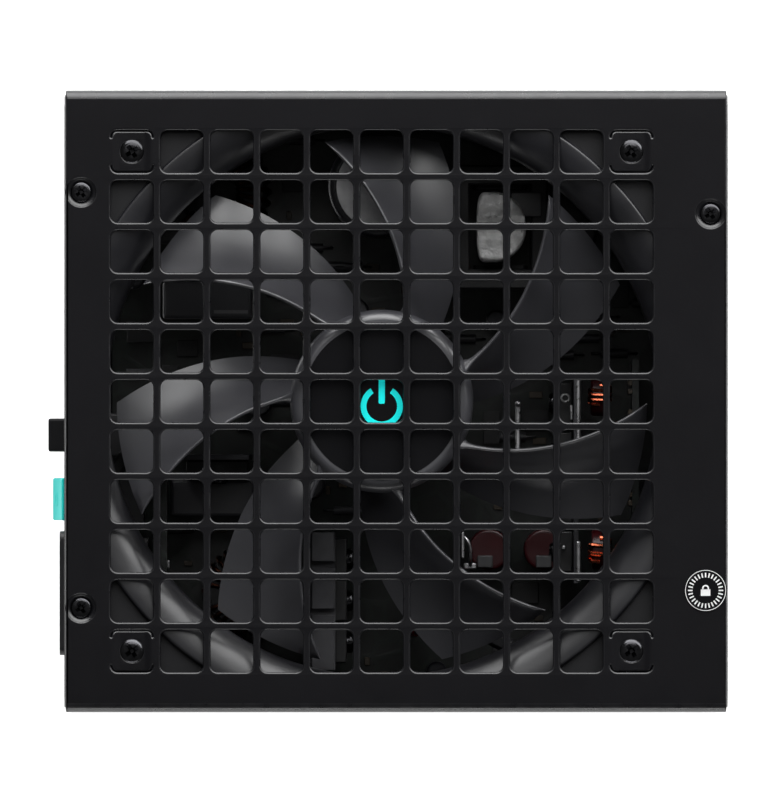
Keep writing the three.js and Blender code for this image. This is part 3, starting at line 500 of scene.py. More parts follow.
def flat_sheet(outlines, thickness=STEEL, edge=EDGE, smooth=1):
    """A sheet with rounded edges, its top face at z 0. The first outline is the outside.

    The faces of the rounded edges take the second material."""
    curve = bpy.data.curves.new("sheet", "CURVE")
    curve.dimensions = "2D"
    curve.fill_mode = "BOTH"
    curve.extrude = thickness / 2 - edge
    curve.bevel_depth = edge
    curve.bevel_resolution = smooth
    curve.offset = -edge
    for outline in outlines:
        spline = curve.splines.new("POLY")
        spline.points.add(len(outline) - 1)
        for point, (x, y) in zip(spline.points, outline):
            point.co = (x, y, 0, 1)
        spline.use_cyclic_u = True
    holder = bpy.data.objects.new("sheet", curve)
    bpy.context.collection.objects.link(holder)
    graph = bpy.context.evaluated_depsgraph_get()
    mesh = bpy.data.meshes.new_from_object(holder.evaluated_get(graph))
    bm = bmesh.new()
    bm.from_mesh(mesh)
    bpy.data.objects.remove(holder)
    bpy.data.curves.remove(curve)
    bpy.data.meshes.remove(mesh)
    bmesh.ops.remove_doubles(bm, verts=bm.verts, dist=1e-4)
    bmesh.ops.translate(bm, verts=bm.verts, vec=(0, 0, -thickness / 2))
    # On the casing the second material is a lighter, glossier copy of the coat: painted sheen on the rounded
    # edges
    for face in bm.faces:
        face.material_index = 1 if abs(face.normal.z) < 0.99 else 0
    return bm


def folded(bm, axis, bends, shape, steps=6):
    """Cuts a flat sheet across at each bend, given as (start, end) along the axis, then shapes it."""
    normal = Vector((axis == 0, axis == 1, 0))
    for start, end in bends:
        for k in range(steps + 1):
            cut_across(bm, everything(bm), normal * (start + (end - start) * k / steps), normal)
    for vert in bm.verts:
        vert.co = shape(vert.co.copy())
    return bm


# ---- Casing ----

def grille_cells():
    last = (CELLS - 1) // 2
    for i in range(-last, last + 1):
        for j in range(-last, last + 1):
            yield FAN.x + i * PITCH, j * PITCH, abs(i) == last and abs(j) == last


def slit(x, y, side):
    """A slit beside a corner pad: the cell's edge on that side, with the corners it turns round."""
    half, inner = CELL / 2, CELL_CORNER - SLIT
    p = half - CELL_CORNER
    end = half - SLIT / 2
    points = arc((end, -p), SLIT / 2, 180, 0, 4) + arc((p, -p), CELL_CORNER, -12, -90, 5)
    points += arc((-p, -p), CELL_CORNER, -90, -168, 5) + arc((-end, -p), SLIT / 2, 180, 0, 4)
    points += arc((-p, -p), inner, -168, -90, 5) + arc((p, -p), inner, -90, -12, 5)
    return [(x + a, y - side * b) for a, b in points]


def pad_drop(p):
    """How far the panel is pressed down at a place, which is nought outside the corner pads."""
    a, b = abs(abs(p.x - FAN.x) - FAN_HOLE), abs(abs(p.y) - FAN_HOLE)
    half = CELL / 2
    p, q = max(0, a - half + CELL_CORNER), max(0, b - half + CELL_CORNER)
    if a > half or b > half or math.hypot(p, q) > CELL_CORNER - SLIT / 2:
        return 0
    t = min(1, max(0, (half - SLIT - a) / PAD_SLOPE))
    return PAD_DEPTH * t * t * (3 - 2 * t)


def add_slope_rows(bm):
    """Cuts the sheet across where the pads slope, so that the slopes can curve."""
    half, steps, around = CELL / 2, 6, CELL / 2 + 0.6
    for side in (-1, 1):
        for edge in (FAN_HOLE - around, FAN_HOLE + around):
            cut_across(bm, everything(bm), (0, side * edge, 0), (0, 1, 0))
    for column in (FAN.x - FAN_HOLE, FAN.x + FAN_HOLE):
        for side in (-1, 1):
            for k in range(steps + 1):
                at = column + side * (half - SLIT - PAD_SLOPE * k / steps)
                faces = [f for f in bm.faces if abs(abs(f.calc_center_median().y) - FAN_HOLE) < around]
                near = {v for f in faces for v in f.verts} | {e for f in faces for e in f.edges} | set(faces)
                cut_across(bm, list(near), (at, 0, 0), (1, 0, 0))


def cover_shell():
    flat = HALF_WIDTH - COVER_BEND
    bend = COVER_BEND * math.pi / 2
    drop = CASE_TOP - COVER_BEND - COVER_LOW.z
    half = flat + bend + drop
    outlines = [rounded_rectangle(0, 0, 2 * COVER_END, 2 * half, 0.8, 3)]
    for x, y, corner in grille_cells():
        if corner:
            outlines += [slit(x, y, 1), slit(x, y, -1), circle(x, y, FAN_SCREW_HOLE_R, 32)]
        else:
            outlines.append(rounded_rectangle(x, y, CELL, CELL, CELL_CORNER))
    outlines += [circle(p.x, p.y, SCREW_HOLE_R, 40) for p in COVER_SCREWS]
    sheet = flat_sheet(outlines, smooth=2)
    add_slope_rows(sheet)

    def shape(p):
        s, side, depth = abs(p.y), math.copysign(1, p.y), -p.z
        if s <= flat:
            return Vector((p.x, p.y, CASE_TOP - depth - pad_drop(p)))
        if s <= flat + bend:
            angle = (s - flat) / COVER_BEND
            reach = COVER_BEND - depth
            across, up = reach * math.sin(angle), reach * math.cos(angle)
            return Vector((p.x, side * (flat + across), CASE_TOP - COVER_BEND + up))
        return Vector((p.x, side * (HALF_WIDTH - depth), CASE_TOP - COVER_BEND - (s - flat - bend)))

    bm = folded(sheet, 1, [(flat, flat + bend), (-flat - bend, -flat)], shape)
    # The coat is as thin and smooth over the bends as over the punched edges
    # The bends take the lighter, glossier copy of the coat too: painted sheen along the bends
    for face in bm.faces:
        at = face.calc_center_median()
        if abs(at.y) > flat + 0.2 and at.z > CASE_TOP - COVER_BEND:
            face.material_index = 1
    for place in COVER_SCREWS:
        add_dish(bm, place)
    return piece("cover_shell", bm, (STEEL_COAT, SHEEN_COAT), "case_steel", ["top_cover"])


def add_dish(bm, place):
    """The pressed dish under a countersunk screw."""
    before = set(bm.faces)
    profile = [(3.45, -0.3), (3.3, -0.36), (2.95, -0.55), (2.6, -0.85), (2.2, -1.05), (1.6, -1.1), (1.6, -1.25),
               (2.4, -1.25), (3.45, -0.6)]
    add_turned(bm, profile, 48, (place.x, place.y, CASE_TOP), closed=True)
    # The dish takes the lighter, glossier copy of the coat: painted sheen
    for face in set(bm.faces) - before:
        face.material_index = 1


def honeycomb():
    """The middles (Y, Z) of the vent's hexagons, clear of the mains parts and the screw holes."""
    rise = HEX_PITCH * math.sqrt(3) / 2
    reach, low, high = HALF_WIDTH - VENT_SIDE, VENT_LOW, CASE_TOP - VENT_TOP
    inlet, button = middle("inlet_housing").y, middle("button_housing").y
    row = 0
    while low + row * rise < high:
        z = low + row * rise
        y = -7 * HEX_PITCH + (row % 2) * HEX_PITCH / 2
        while y < reach:
            by_mains = inlet - 22.5 < y < button + 12 and abs(z - MAINS_Z) < 17
            by_screw = any(math.hypot(y - a, z - b) < HEX_PITCH for a, b in ATX_HOLES)
            if not by_mains and not by_screw:
                yield y, z
            y += HEX_PITCH
        row += 1


def chassis_shell():
    top = CHASSIS_HIGH.z
    half = CHASSIS_HIGH.y
    flange = CHASSIS_FLANGE - CHASSIS_BEND
    bend = CHASSIS_BEND * math.pi / 2
    floor = FACE - CHASSIS_BEND
    panel = top - 2 * CHASSIS_BEND
    marks = [floor, floor + bend, floor + bend + panel, floor + 2 * bend + panel]
    end = marks[3] + flange

    def on_panel(z):
        return marks[1] + z - CHASSIS_BEND

    def cut_out(node, side, corner):
        """A housing's hole on the flat sheet. Side -1 is the mains face, 1 the modular face."""
        low, high = span(node)
        centre, size = (low + high) / 2, high - low
        width, height = size.y + CUT_OUT_GAP, size.z + CUT_OUT_GAP
        return rounded_rectangle(side * on_panel(centre.z), centre.y, height, width, corner, 4)

    trim = 2.0  # the panels' top corners are cut off to clear the cover's bends
    outside = [
        (-end, -half + 6), (-marks[2], -half + trim), (-marks[2] + trim, -half), (marks[2] - trim, -half),
        (marks[2], -half + trim), (end, -half + 6), (end, half - 6), (marks[2], half - trim),
        (marks[2] - trim, half), (-marks[2] + trim, half), (-marks[2], half - trim), (-end, half - 6),
    ]
    inlet = middle("inlet_housing")
    outlines = [outside, rounded_rectangle(-on_panel(inlet.z), inlet.y, 20.6, 27.6, 1.2, 4)]
    outlines += [cut_out(node, -1, 0.8) for node in ("switch_housing", "button_housing")]
    outlines += [circle(-on_panel(z), y, ATX_HOLE_R, 24) for y, z in ATX_HOLES]
    # A hexagon's outline is turned with the panel, so height runs along the flat sheet's X
    for y, z in honeycomb():
        outlines.append([(-on_panel(b), a) for a, b in hexagon(y, z, HEX_FLAT)])
    outlines += [cut_out(node, 1, 0.7) for node in SOCKETS]
    for place in COVER_SCREWS:
        along = marks[3] + (FACE - CHASSIS_BEND) - abs(place.x)
        outlines.append(circle(math.copysign(along, place.x), place.y, 1.6, 20))
    # The underside is the outer face, so the sheet's top side is laid downwards
    sheet = flat_sheet(outlines, STEEL, 0.15)

    def shape(p):
        s, side, depth = abs(p.x), math.copysign(1, p.x), -p.z
        if s <= marks[0]:
            return Vector((p.x, p.y, depth))
        if s <= marks[1]:
            angle, reach = (s - marks[0]) / CHASSIS_BEND, CHASSIS_BEND - depth
            out, up = reach * math.sin(angle), reach * math.cos(angle)
            return Vector((side * (floor + out), p.y, CHASSIS_BEND - up))
        if s <= marks[2]:
            return Vector((side * (FACE - depth), p.y, CHASSIS_BEND + s - marks[1]))
        if s <= marks[3]:
            angle, reach = (s - marks[2]) / CHASSIS_BEND, CHASSIS_BEND - depth
            out, up = reach * math.cos(angle), reach * math.sin(angle)
            return Vector((side * (floor + out), p.y, top - CHASSIS_BEND + up))
        return Vector((side * (floor - (s - marks[3])), p.y, top - depth))

    bends = [(marks[0], marks[1]), (marks[2], marks[3]), (-marks[1], -marks[0]), (-marks[3], -marks[2])]
    bm = folded(sheet, 0, bends, shape, 5)
    for side in (-1, 1):
        add_lip(bm, side, half, floor)
    for place in BOARD_SCREWS:
        profile = [(3.6, 0.7), (3.1, 1.4), (2.9, 6.4), (2.6, 6.85), (1.9, 6.85), (1.6, 6.5), (1.6, 0.7)]
        add_turned(bm, profile, 32, (place.x, place.y, 0), closed=True)
    return piece("chassis_shell", bm, (STEEL_COAT, SHEEN_COAT), "case_steel", ["lower_chassis"])


def add_lip(bm, side, half, reach):
    """The low flange along each long side of the underside."""
    section = arc((half - CHASSIS_BEND, CHASSIS_BEND), CHASSIS_BEND, -90, 0, 6)
    inner, low, high = half - STEEL, CHASSIS_LIP - 0.1, CHASSIS_LIP
    section += [(half, low), (half - 0.1, high), (inner + 0.1, high), (inner, low)]
    section += arc((half - CHASSIS_BEND, CHASSIS_BEND), CHASSIS_BEND - STEEL, 0, -90, 6)
    add_prism(bm, [(side * y, z) for y, z in section], -reach + 1, reach - 1, "x")


def screw(name, place, top, head, recess, material, nodes):
    """A Phillips screw. head is its profile from the axis to the underside, below the top face."""
    profile = [(0, 0)] + head + [(1.25, head[-1][1] - 0.1), (1.25, -5.5), (0.7, -6), (0, -6)]
    at = (place.x, place.y, top)
    body = new_object(name, turned(profile, 40, at), material)
    for turn in (0, 90):
        bm = bmesh.new()
        add_recess_arm(bm, recess, turn + 33)
        bm.transform(Matrix.Translation(at))
        boolean(body, bm)
    sharpened(body, 35)
    return settle(body, "dark_steel" if material == BLACK_SCREW else "bright_steel", nodes)


def add_recess_arm(bm, reach, turn):
    width, depth = reach * 0.28, reach
    rotate = spun(turn, "Z", 3)
    loops = []
    for z, out, half in ((0.3, reach * 1.06, width * 1.1), (-depth, reach * 0.24, width * 0.55)):
        corners = [(-out, -half), (out, -half), (out, half), (-out, half)]
        loops.append([rotate @ Vector((a, b, z)) for a, b in corners])
    add_loops(bm, loops)


def screws():
    heads = {
        "cover": [(1.7, 0.0), (2.1, -0.06), (2.35, -0.2), (2.43, -0.34), (1.5, -0.95)],
        "fan": [(1.4, 0.0), (2.0, -0.05), (2.45, -0.18), (2.75, -0.38), (2.93, -0.6), (2.93, -0.68)],
        "board": [(1.4, 0.0), (2.4, -0.3), (2.85, -0.9), (3.0, -1.5), (3.0, -1.8)],
    }
    kinds = (
        ("cover", COVER_SCREWS, CASE_TOP - 0.25, 1.55, BLACK_SCREW),
        ("fan", FAN_SCREWS, CASE_TOP, 1.8, BLACK_SCREW),
        ("board", BOARD_SCREWS, span("board_screw_1")[1].z, 1.8, BRIGHT_STEEL),
    )
    for kind, places, top, recess, material in kinds:
        for i, place in enumerate(places, 1):
            screw(f"{kind}_screw_head_{i}", place, top, heads[kind], recess, material, [f"{kind}_screw_{i}"])


def seal_sticker():
    low, high = span("seal_sticker")
    x, y = (low.x + high.x) / 2, (low.y + high.y) / 2
    radius, base, top = (high.x - low.x) / 2, low.z, high.z
    profile = [(0, base), (radius - 0.05, base), (radius, top - 0.06), (radius - 0.08, top - 0.02),
               (0, top - 0.02)]
    piece("seal_disc", turned(profile, 64, (x, y, 0)), LABEL_FILM, "label", ["seal_sticker"])
    ink = bmesh.new()
    inner, outer = radius - 0.42, radius - 0.28
    ring = [(inner, top - 0.03), (outer, top - 0.03), (outer, top), (inner, top)]
    add_turned(ink, ring, 72, (x, y, 0), closed=True)
    # A plain ring of ticks, and a padlock in the middle
    ticks = 28
    for k in range(ticks):
        turn = Matrix.Translation((x, y, 0)) @ spun(360 * k / ticks, "Z")
        tick = add_box(ink, (3.15, -0.16, top - 0.03), (4.25, 0.16, top))
        bmesh.ops.transform(ink, matrix=turn, verts=tick)
    add_box(ink, (x - 1.15, y - 1.3, top - 0.03), (x + 1.15, y + 0.25, top))
    outer, inner = arc((x, y + 0.5), 0.85, 0, 180, 14), arc((x, y + 0.5), 0.5, 0, 180, 14)
    bow = [(x + 0.85, y + 0.1)] + outer + [(x - 0.85, y + 0.1), (x - 0.5, y + 0.1)] + inner[::-1]
    bow.append((x + 0.5, y + 0.1))
    add_prism(ink, bow, top - 0.03, top)
    piece("seal_marks", ink, WHITE_INK, "label")


def insulation():
    low, high = span("insulation_sheet")
    centre, size = (low + high) / 2, high - low
    outlines = [rounded_rectangle(centre.x, centre.y, size.x, size.y, 2)]
    outlines += [circle(p.x, p.y, 4, 24) for p in BOARD_SCREWS]
    bm = flat_sheet(outlines, size.z, 0.05)
    bmesh.ops.translate(bm, verts=bm.verts, vec=(0, 0, high.z))
    piece("insulation_film_sheet", bm, FILM, "film", ["insulation_sheet"])


# ---- Fan ----

CORNERS = ((1, 1), (-1, 1), (-1, -1), (1, -1))


def fan_surround():
    top, low, side = FAN_HIGH.z - 0.6, FAN_LOW.z, FAN_HIGH.y
    bell = [(0, low - 1), (THROAT_R, low - 1)]
    flare, rise = RIDGE_R - THROAT_R, 7.1
    for k in range(15):
        turn = math.radians(90 * k / 14)
        bell.append((THROAT_R + flare * (1 - math.cos(turn)), top + 0.6 + rise * (math.sin(turn) - 1)))
    bell += [(RIDGE_R + 0.1, top + 2), (0, top + 2)]
    square = prism(rounded_rectangle(FAN.x, 0, 2 * side, 2 * side, 4, 8), low, top + 0.6)
    body = new_object("fan_surround", square, FRAME_PLASTIC)
    voids = turned(bell, 160, FAN)
    # Outside the ridge the corners lie lower, and between the flanges the outside is a plain barrel
    bead = [(0.2, 2), (0.2, 0.6), (0.55, 0.42), (0.8, 0.1), (0.9, -0.3), (0.9, -1)]
    around = [(RIDGE_R + a, top + b) for a, b in bead] + [(120, top - 1), (120, top + 2)]
    add_turned(voids, around, 160, FAN, True)
    add_turned(voids, [(70, low + 4), (120, low + 4), (120, top - 4), (70, top - 4)], 160, FAN, True)
    boolean(body, voids)
    holes = bmesh.new()
    for a, b in CORNERS:
        at = (FAN.x + a * FAN_HOLE, b * FAN_HOLE, 0)
        add_turned(holes, [(0, low - 1), (2.2, low - 1), (2.2, top + 1), (0, top + 1)], 32, at)
    boolean(body, holes)
    # The flat tops of the corners outside the ridge take the darker, matter seat plastic: its darker colour is
    # painted shade for the recessed corners under the grille
    body.data.materials.append(SEAT_PLASTIC)
    for face in body.data.polygons:
        corner = (face.center - FAN * MM).xy.length > (RIDGE_R + 0.9) * MM
        face.material_index = 1 if corner and face.normal.z > 0.9 else 0
    sharpened(body, 30)
    rounded_edges(body, 0.3, 3, 32)
    return settle(body, "fan_plastic", ["fan_frame"])


def motor_seat():
    low = FAN_LOW.z
    bm = turned([(0, low), (HUB_R - 1.6, low), (HUB_R - 1.2, low + 0.4), (HUB_R - 1.2, low + 1.6),
                 (HUB_R - 1.6, low + 2), (0, low + 2)], 72, FAN)
    post = [(4, low + 2), (5.6, low + 2), (5.6, low + 15.7), (5.3, low + 16), (4, low + 16)]
    add_turned(bm, post, 40, FAN, True)
    section = [(-2, 0), (2, 0), (2, 2), (1.2, 3), (-1.2, 3), (-2, 2)]
    start, end, steps = 16, THROAT_R + 0.6, 16
    for blade in STRUTS:
        middle_line = [blade_middle(blade, start + (end - start) * k / steps) for k in range(steps + 1)]
        loops = []
        for k, p in enumerate(middle_line):
            ahead = (middle_line[min(k + 1, steps)] - middle_line[max(k - 1, 0)]).normalized()
            across = Vector((ahead.y, -ahead.x, 0))
            loops.append([FAN + p + across * a + Vector((0, 0, low + b)) for a, b in section])
        add_loops(bm, loops)
    seat = new_object("fan_motor_seat", bm, SEAT_PLASTIC, 30)
    rounded_edges(seat, 0.25, 2, 30)
    settle(seat, "fan_plastic")


def blade_middle(blade, r):
    """The middle line of a blade seen from above."""
    t = (r - HUB_R) / (TIP_R - HUB_R)
    lead = LEAD_ROOT + (LEAD_TIP - LEAD_ROOT) * t - (CHORD_ROOT + (CHORD_TIP - CHORD_ROOT) * t) / 2
    angle = math.radians(lead + 360 * blade / BLADES)
    return Vector((r * math.cos(angle), r * math.sin(angle), 0))


def blade_loops():
    """Cambered sections from the hub outwards, each a closed loop around the blade."""
    across, outward = 26, 26
    loops = []
    for row in range(outward + 1):
        r = HUB_R - 0.6 + (TIP_R - HUB_R + 0.6) * row / outward
        t = max(0, (r - HUB_R) / (TIP_R - HUB_R))
        lead = math.radians(LEAD_ROOT + (LEAD_TIP - LEAD_ROOT) * t)
        chord = math.radians(CHORD_ROOT + (CHORD_TIP - CHORD_ROOT) * t)
        upper, lower = 81.4 - 0.4 * t, 66 + 1.5 * t
        # Thicker where it springs from the hub, and thinned just inside the tip
        root = 1 + 1.4 * math.exp(-(r - HUB_R) / 1.3)
        rim = min(1, math.sqrt(max(0.02, (TIP_R - r) / 0.8)))
        run, drop = chord * r, upper - lower
        length = math.hypot(run, drop)
        loop = []
        for k in range(2 * across):
            face = 1 if k <= across else -1
            s = (1 - math.cos(math.pi * (k if k <= across else 2 * across - k) / across)) / 2
            # A full round nose, thinning evenly to a fine trailing edge
            nose = min(1, s * length / BLADE_HALF)
            wing = BLADE_HALF * math.sqrt(1 - (1 - nose) ** 2) * (1 - BLADE_THINNING * s)
            lift = CAMBER * length * math.sin(math.pi * s) + face * wing * root * rim
            u = run * s - lift * drop / length
            z = upper - drop * s - lift * run / length
            angle = lead - u / r
            loop.append(Vector((r * math.cos(angle), r * math.sin(angle), z)))
        loops.append(loop)
    return loops


def impeller():
    low, roof = FAN_LOW.z + 5, HUB_TOP - 1.6
    rim = [(HUB_R, HUB_TOP - 3.2)]
    rim += [(HUB_FLAT_R + (HUB_R - HUB_FLAT_R) * math.cos(a), HUB_TOP - 3.2 + 3.2 * math.sin(a))
            for a in [math.radians(15 * k) for k in range(1, 7)]]
    inner = 20.3
    cup = [(0, roof), (inner - 1, roof), (inner, roof - 1), (inner, low), (HUB_R, low)]
    bm = turned(cup + rim + [(0, HUB_TOP)], 120, FAN)
    blade = blade_loops()
    for k in range(BLADES):
        turn = Matrix.Translation(FAN) @ spun(360 * k / BLADES, "Z")
        add_loops(bm, [[turn @ p for p in loop] for loop in blade])
    piece("impeller_blades", bm, BLADE_PLASTIC, "fan_plastic", ["fan_impeller"], "rotor", 50)


def hub_mark():
    low, high = span("hub_label")
    radius, top = (high.x - low.x) / 2, high.z
    disc = [(0, low.z), (radius, low.z), (radius, top - 0.05), (radius - 0.12, top), (0, top)]
    piece("hub_disc", turned(disc, 96, FAN), LABEL_FILM, "label", ["hub_label"], "rotor")
    # A plain power sign, drawn as a ring with a gap and a bar
    bm = bmesh.new()
    centre_y = -1.2
    outer, inner = arc((FAN.x, centre_y), 5.1, 122, 418, 40), arc((FAN.x, centre_y), 3.7, 122, 418, 40)
    bar = rounded_rectangle(FAN.x, centre_y + 3.9, 1.5, 6.6, 0.35, 4)
    for outline in (outer + inner[::-1], bar):
        add_prism(bm, outline, top - 0.02, top + 0.03)
    piece("power_sign", bm, TEAL_INK, "label", body="rotor")


def add_tube(bm, points, radius, sides=8):
    """A round tube along points, kept from twisting."""
    points = [Vector(p) for p in points]
    loops = []
    normal = None
    for i, p in enumerate(points):
        ahead = (points[min(i + 1, len(points) - 1)] - points[max(i - 1, 0)]).normalized()
        if normal is None:
            normal = ahead.orthogonal().normalized()
        normal = (normal - ahead * normal.dot(ahead)).normalized()
        side = ahead.cross(normal)
        loops.append([p + radius * (normal * math.cos(a) + side * math.sin(a))
                      for a in [2 * math.pi * k / sides for k in range(sides)]])
    add_loops(bm, loops)


def tube(points, radius, sides=8):
    bm = bmesh.new()
    add_tube(bm, points, radius, sides)
    return bm


def smooth_path(points, steps):
    """Catmull-Rom through the points."""
    points = [Vector(p) for p in points]
    padded = [2 * points[0] - points[1]] + points + [2 * points[-1] - points[-2]]
    path = []
    for k in range(steps + 1):
        at = (len(points) - 1) * k / steps
        i = min(int(at), len(points) - 2)
        t = at - i
        a, b, c, d = padded[i:i + 4]
        path.append(0.5 * (2 * b + (c - a) * t + (2 * a - 5 * b + 4 * c - d) * t * t
                           + (3 * b - a - 3 * c + d) * t ** 3))
    return path


def fan_cable():
    """A twisted pair from the motor, under a strut and down to the board."""
    under = FAN_LOW.z - 1.6
    route = [(-1, -13.6, under), (0.4, -25, under), (8.4, -41.2, under), (17.8, -51, under - 1),
             (19.6, -54, under - 8), (16, -56, 36), (9.5, -56, 22), (7.5, -56, BOARD_TOP + 0.3)]
    path = smooth_path([(FAN.x + x, y, z) for x, y, z in route], 120)
    pitch, reach = 9, 0.62
    for name, start, material in (("fan_wire_dark", 0, CABLE), ("fan_wire_red", math.pi, RED_CABLE)):
        strand, travelled = [], 0
        for i, p in enumerate(path):
            ahead = (path[min(i + 1, len(path) - 1)] - path[max(i - 1, 0)]).normalized()
            travelled += (p - path[i - 1]).length if i else 0
            side = ahead.cross(Vector((1, 0, 0))).normalized()
            other = ahead.cross(side)
            turn = start + 2 * math.pi * travelled / pitch
            strand.append(p + reach * (side * math.cos(turn) + other * math.sin(turn)))
        piece(name, tube(strand, 0.56), material, "cable", ["fan_lead"])


# ---- Mains face ----

INLET = middle("inlet_housing")
INLET_PINS = ("inlet_pin_live", "inlet_pin_neutral", "inlet_pin_earth")
ROCKER_MIDDLE = middle("switch_housing")
PIVOT = Vector((-76, ROCKER_MIDDLE.y, MAINS_Z))
TILT = 8
ROCKER_PROUD = 6.2  # the cap's face beyond the pivot


def inlet():
    y, z = INLET.y, MAINS_Z
    flange = prism(rounded_rectangle(y, z, 30, 23.5, 2, 6), span("inlet_housing")[0].x, -FACE - 0.1, "x")
    body = new_object("inlet_moulding", flange, SOCKET_PLASTIC)
    rear = rounded_rectangle(y, z, 27, 20, 1, 3)
    boolean(body, prism(rear, -FACE - 0.5, -FACE + 20, "x"), "UNION")
    p, q, cut = 12.3, 8.5, 4
    well = [
        (y - p, z - q), (y + p, z - q), (y + p, z + q - cut), (y + p - cut, z + q), (y - p + cut, z + q),
        (y - p, z + q - cut),
    ]
    boolean(body, prism(well, -FACE - 3, -FACE + 15, "x"))
    slots = bmesh.new()
    for node in INLET_PINS:
        low, high = span(node)
        add_box(slots, (-FACE + 14, low.y - 0.1, low.z - 0.1), (-FACE + 22, high.y + 0.1, high.z + 0.1))
    boolean(body, slots)
    sharpened(body, 35)
    rounded_edges(body, 0.3, 3, 35)
    settle(body, "black_plastic", ["inlet_housing"])
    for node in INLET_PINS:
        low, high = span(node)
        a, b = (low.y + high.y) / 2, (low.z + high.z) / 2
        w, h = (high.y - low.y) / 2, (high.z - low.z) / 2
        bm = bmesh.new()
        loops = []
        # The tip is bevelled all round
        stations = ((low.x, 0.8), (low.x + 0.25, 0.45), (low.x + 1.4, 0.05), (low.x + 1.6, 0), (high.x, 0))
        for x, inset in stations:
            corner = 0.25 * (1 - inset) + 0.03
            outline = rounded_rectangle(a, b, 2 * (w - inset * 0.7), 2 * (h - inset), corner, 3)
            loops.append([(x, y, z) for y, z in outline])
        add_loops(bm, loops)
        piece(node + "_blade", bm, BRIGHT_STEEL, "bright_steel", [node])


def panel_frame(name, node, wall, depth, material):
    """A rectangular housing set in the mains face, open to the outside."""
    low, high = span(node)
    y, z, w, h = middle(node).y, middle(node).z, high.y - low.y, high.z - low.z
    body = new_object(name, prism(rounded_rectangle(y, z, w, h, 0.8, 4), low.x, high.x, "x"), material)
    inner = rounded_rectangle(y, z, w - 2 * wall[0], h - 2 * wall[1], 0.5, 4)
    boolean(body, prism(inner, low.x - 1, low.x + depth, "x"))
    return body


def rocker_switch():
    body = panel_frame("switch_moulding", "switch_housing", (0.8, 0.9), 15, SOCKET_PLASTIC)
    bores = prism(circle(MAINS_Z, PIVOT.x, 1.28, 24), ROCKER_MIDDLE.y - 10, ROCKER_MIDDLE.y + 10, "y")
    boolean(body, bores)
    rounded_edges(body, 0.15, 2, 35)
    settle(body, "black_plastic", ["switch_housing"])
    # The rocker is drawn level about its pivot and tipped to its stop
    half_width, half, out = 5.15, 8.6, -ROCKER_PROUD
    face = [(-half + 1, 1.2), (-half, 0), (-half, out + 0.6), (-half + 0.18, out + 0.2), (-half + 0.6, out)]
    for k in range(1, 20):
        t = k / 20
        z = -half + 0.6 + (2 * half - 1.2) * t
        face.append((z, out + 2.2 * t * (1 - t)))
    face += [(half - 0.6, out), (half - 0.18, out + 0.2), (half, out + 0.6), (half, 0), (half - 1, 1.2)]
    tip = Matrix.Translation(PIVOT) @ spun(TILT, "Y")
    bm = bmesh.new()
    ends = ((-half_width, 0.35), (-half_width + 0.12, 0.12), (-half_width + 0.35, 0))
    loops = []
    for y, inset in ends + tuple((-y, inset) for y, inset in reversed(ends)):
        loops.append([tip @ Vector((x + (inset if x < -1 else -inset * 0.5), y, z * (1 - inset / half)))
                      for z, x in face])
    add_loops(bm, loops)
    piece("rocker_cap", bm, TEAL_PLASTIC, "teal_plastic", ["power_rocker"], "rocker", angle=30)
    pins = bmesh.new()
    for side in (-1, 1):
        add_tube(pins, [tip @ Vector((0, side * y, 0)) for y in (half_width - 0.3, 6.1)], 1.18, 20)
    piece("rocker_pins", pins, TEAL_PLASTIC, "teal_plastic", body="rocker")
    rocker_marks(tip, half, out)


def rocker_marks(tip, half, out):
    """The on and off marks, a bar and a ring, standing a hair above the cap."""
    def on_cap(z):
        t = (z + half - 0.6) / (2 * half - 1.2)
        return out + 2.2 * t * (1 - t)

    marks = bmesh.new()
    ring_y, ring_z = 0, -4.3
    outer, inner = circle(ring_y, ring_z, 1.75, 40), circle(ring_y, ring_z, 1.25, 40)
    rings = []
    for outline, lift in ((outer, 0.03), (outer, -0.05), (inner, -0.05), (inner, 0.03)):
        rings.append([tip @ Vector((on_cap(z) + lift - 0.02, y, z)) for y, z in outline])
    add_loops(marks, rings, closed=True)
    bar = rounded_rectangle(0, 4.3, 0.55, 3.6, 0.2, 3)
    add_loops(marks, [[tip @ Vector((on_cap(z) + lift, y, z)) for y, z in bar] for lift in (0.03, -0.05)])
    piece("rocker_marks", marks, TEAL_PLASTIC, "teal_plastic", body="rocker")


def mode_button():
    body = panel_frame("button_moulding", "button_housing", (1.0, 1.0), 17, SOCKET_PLASTIC)
    rounded_edges(body, 0.15, 2, 35)
    settle(body, "black_plastic", ["button_housing"])
    low, high = span("fan_mode_button")
    y, z, w = middle("fan_mode_button").y, MAINS_Z, high.y - low.y
    loops = []
    # The face is dished, and its rim rounded
    stations = ((0.35, 1.9), (0.18, 1.1), (0, 0.75), (0.02, 0.45), (0.12, 0.18), (0.35, 0.03), (0.7, 0),
                (11.5, 0))
    for depth, inset in stations:
        outline = rounded_rectangle(y, z, w - 2 * inset, w - 2 * inset, max(0.15, 0.7 - inset * 0.2), 5)
        loops.append([(low.x + depth, a, b) for a, b in outline])
    bm = bmesh.new()
    add_loops(bm, loops)
    add_box(bm, (low.x + 11, y - 2, z - 2), (high.x, y + 2, z + 2))
    piece("mode_button_cap", bm, BUTTON_PLASTIC, "black_plastic", ["fan_mode_button"], "button", angle=35)
    # A small fan sign of three drops around a dot
    ink = bmesh.new()
    drop = [(0.35, 0.1), (0.8, -0.25), (1.35, -0.15), (1.55, 0.3), (1.25, 0.7), (0.7, 0.65)]
    turns = [Matrix.Rotation(math.radians(120 * k), 2) for k in range(3)]
    sign = [[Vector((y, z)) + turn @ Vector(p) for p in drop] for turn in turns]
    for outline in sign + [circle(y, z, 0.22, 12)]:
        add_prism(ink, outline, low.x + 0.30, low.x + 0.38, "x")
    piece("mode_button_sign", ink, GREY_INK, "label", body="button")


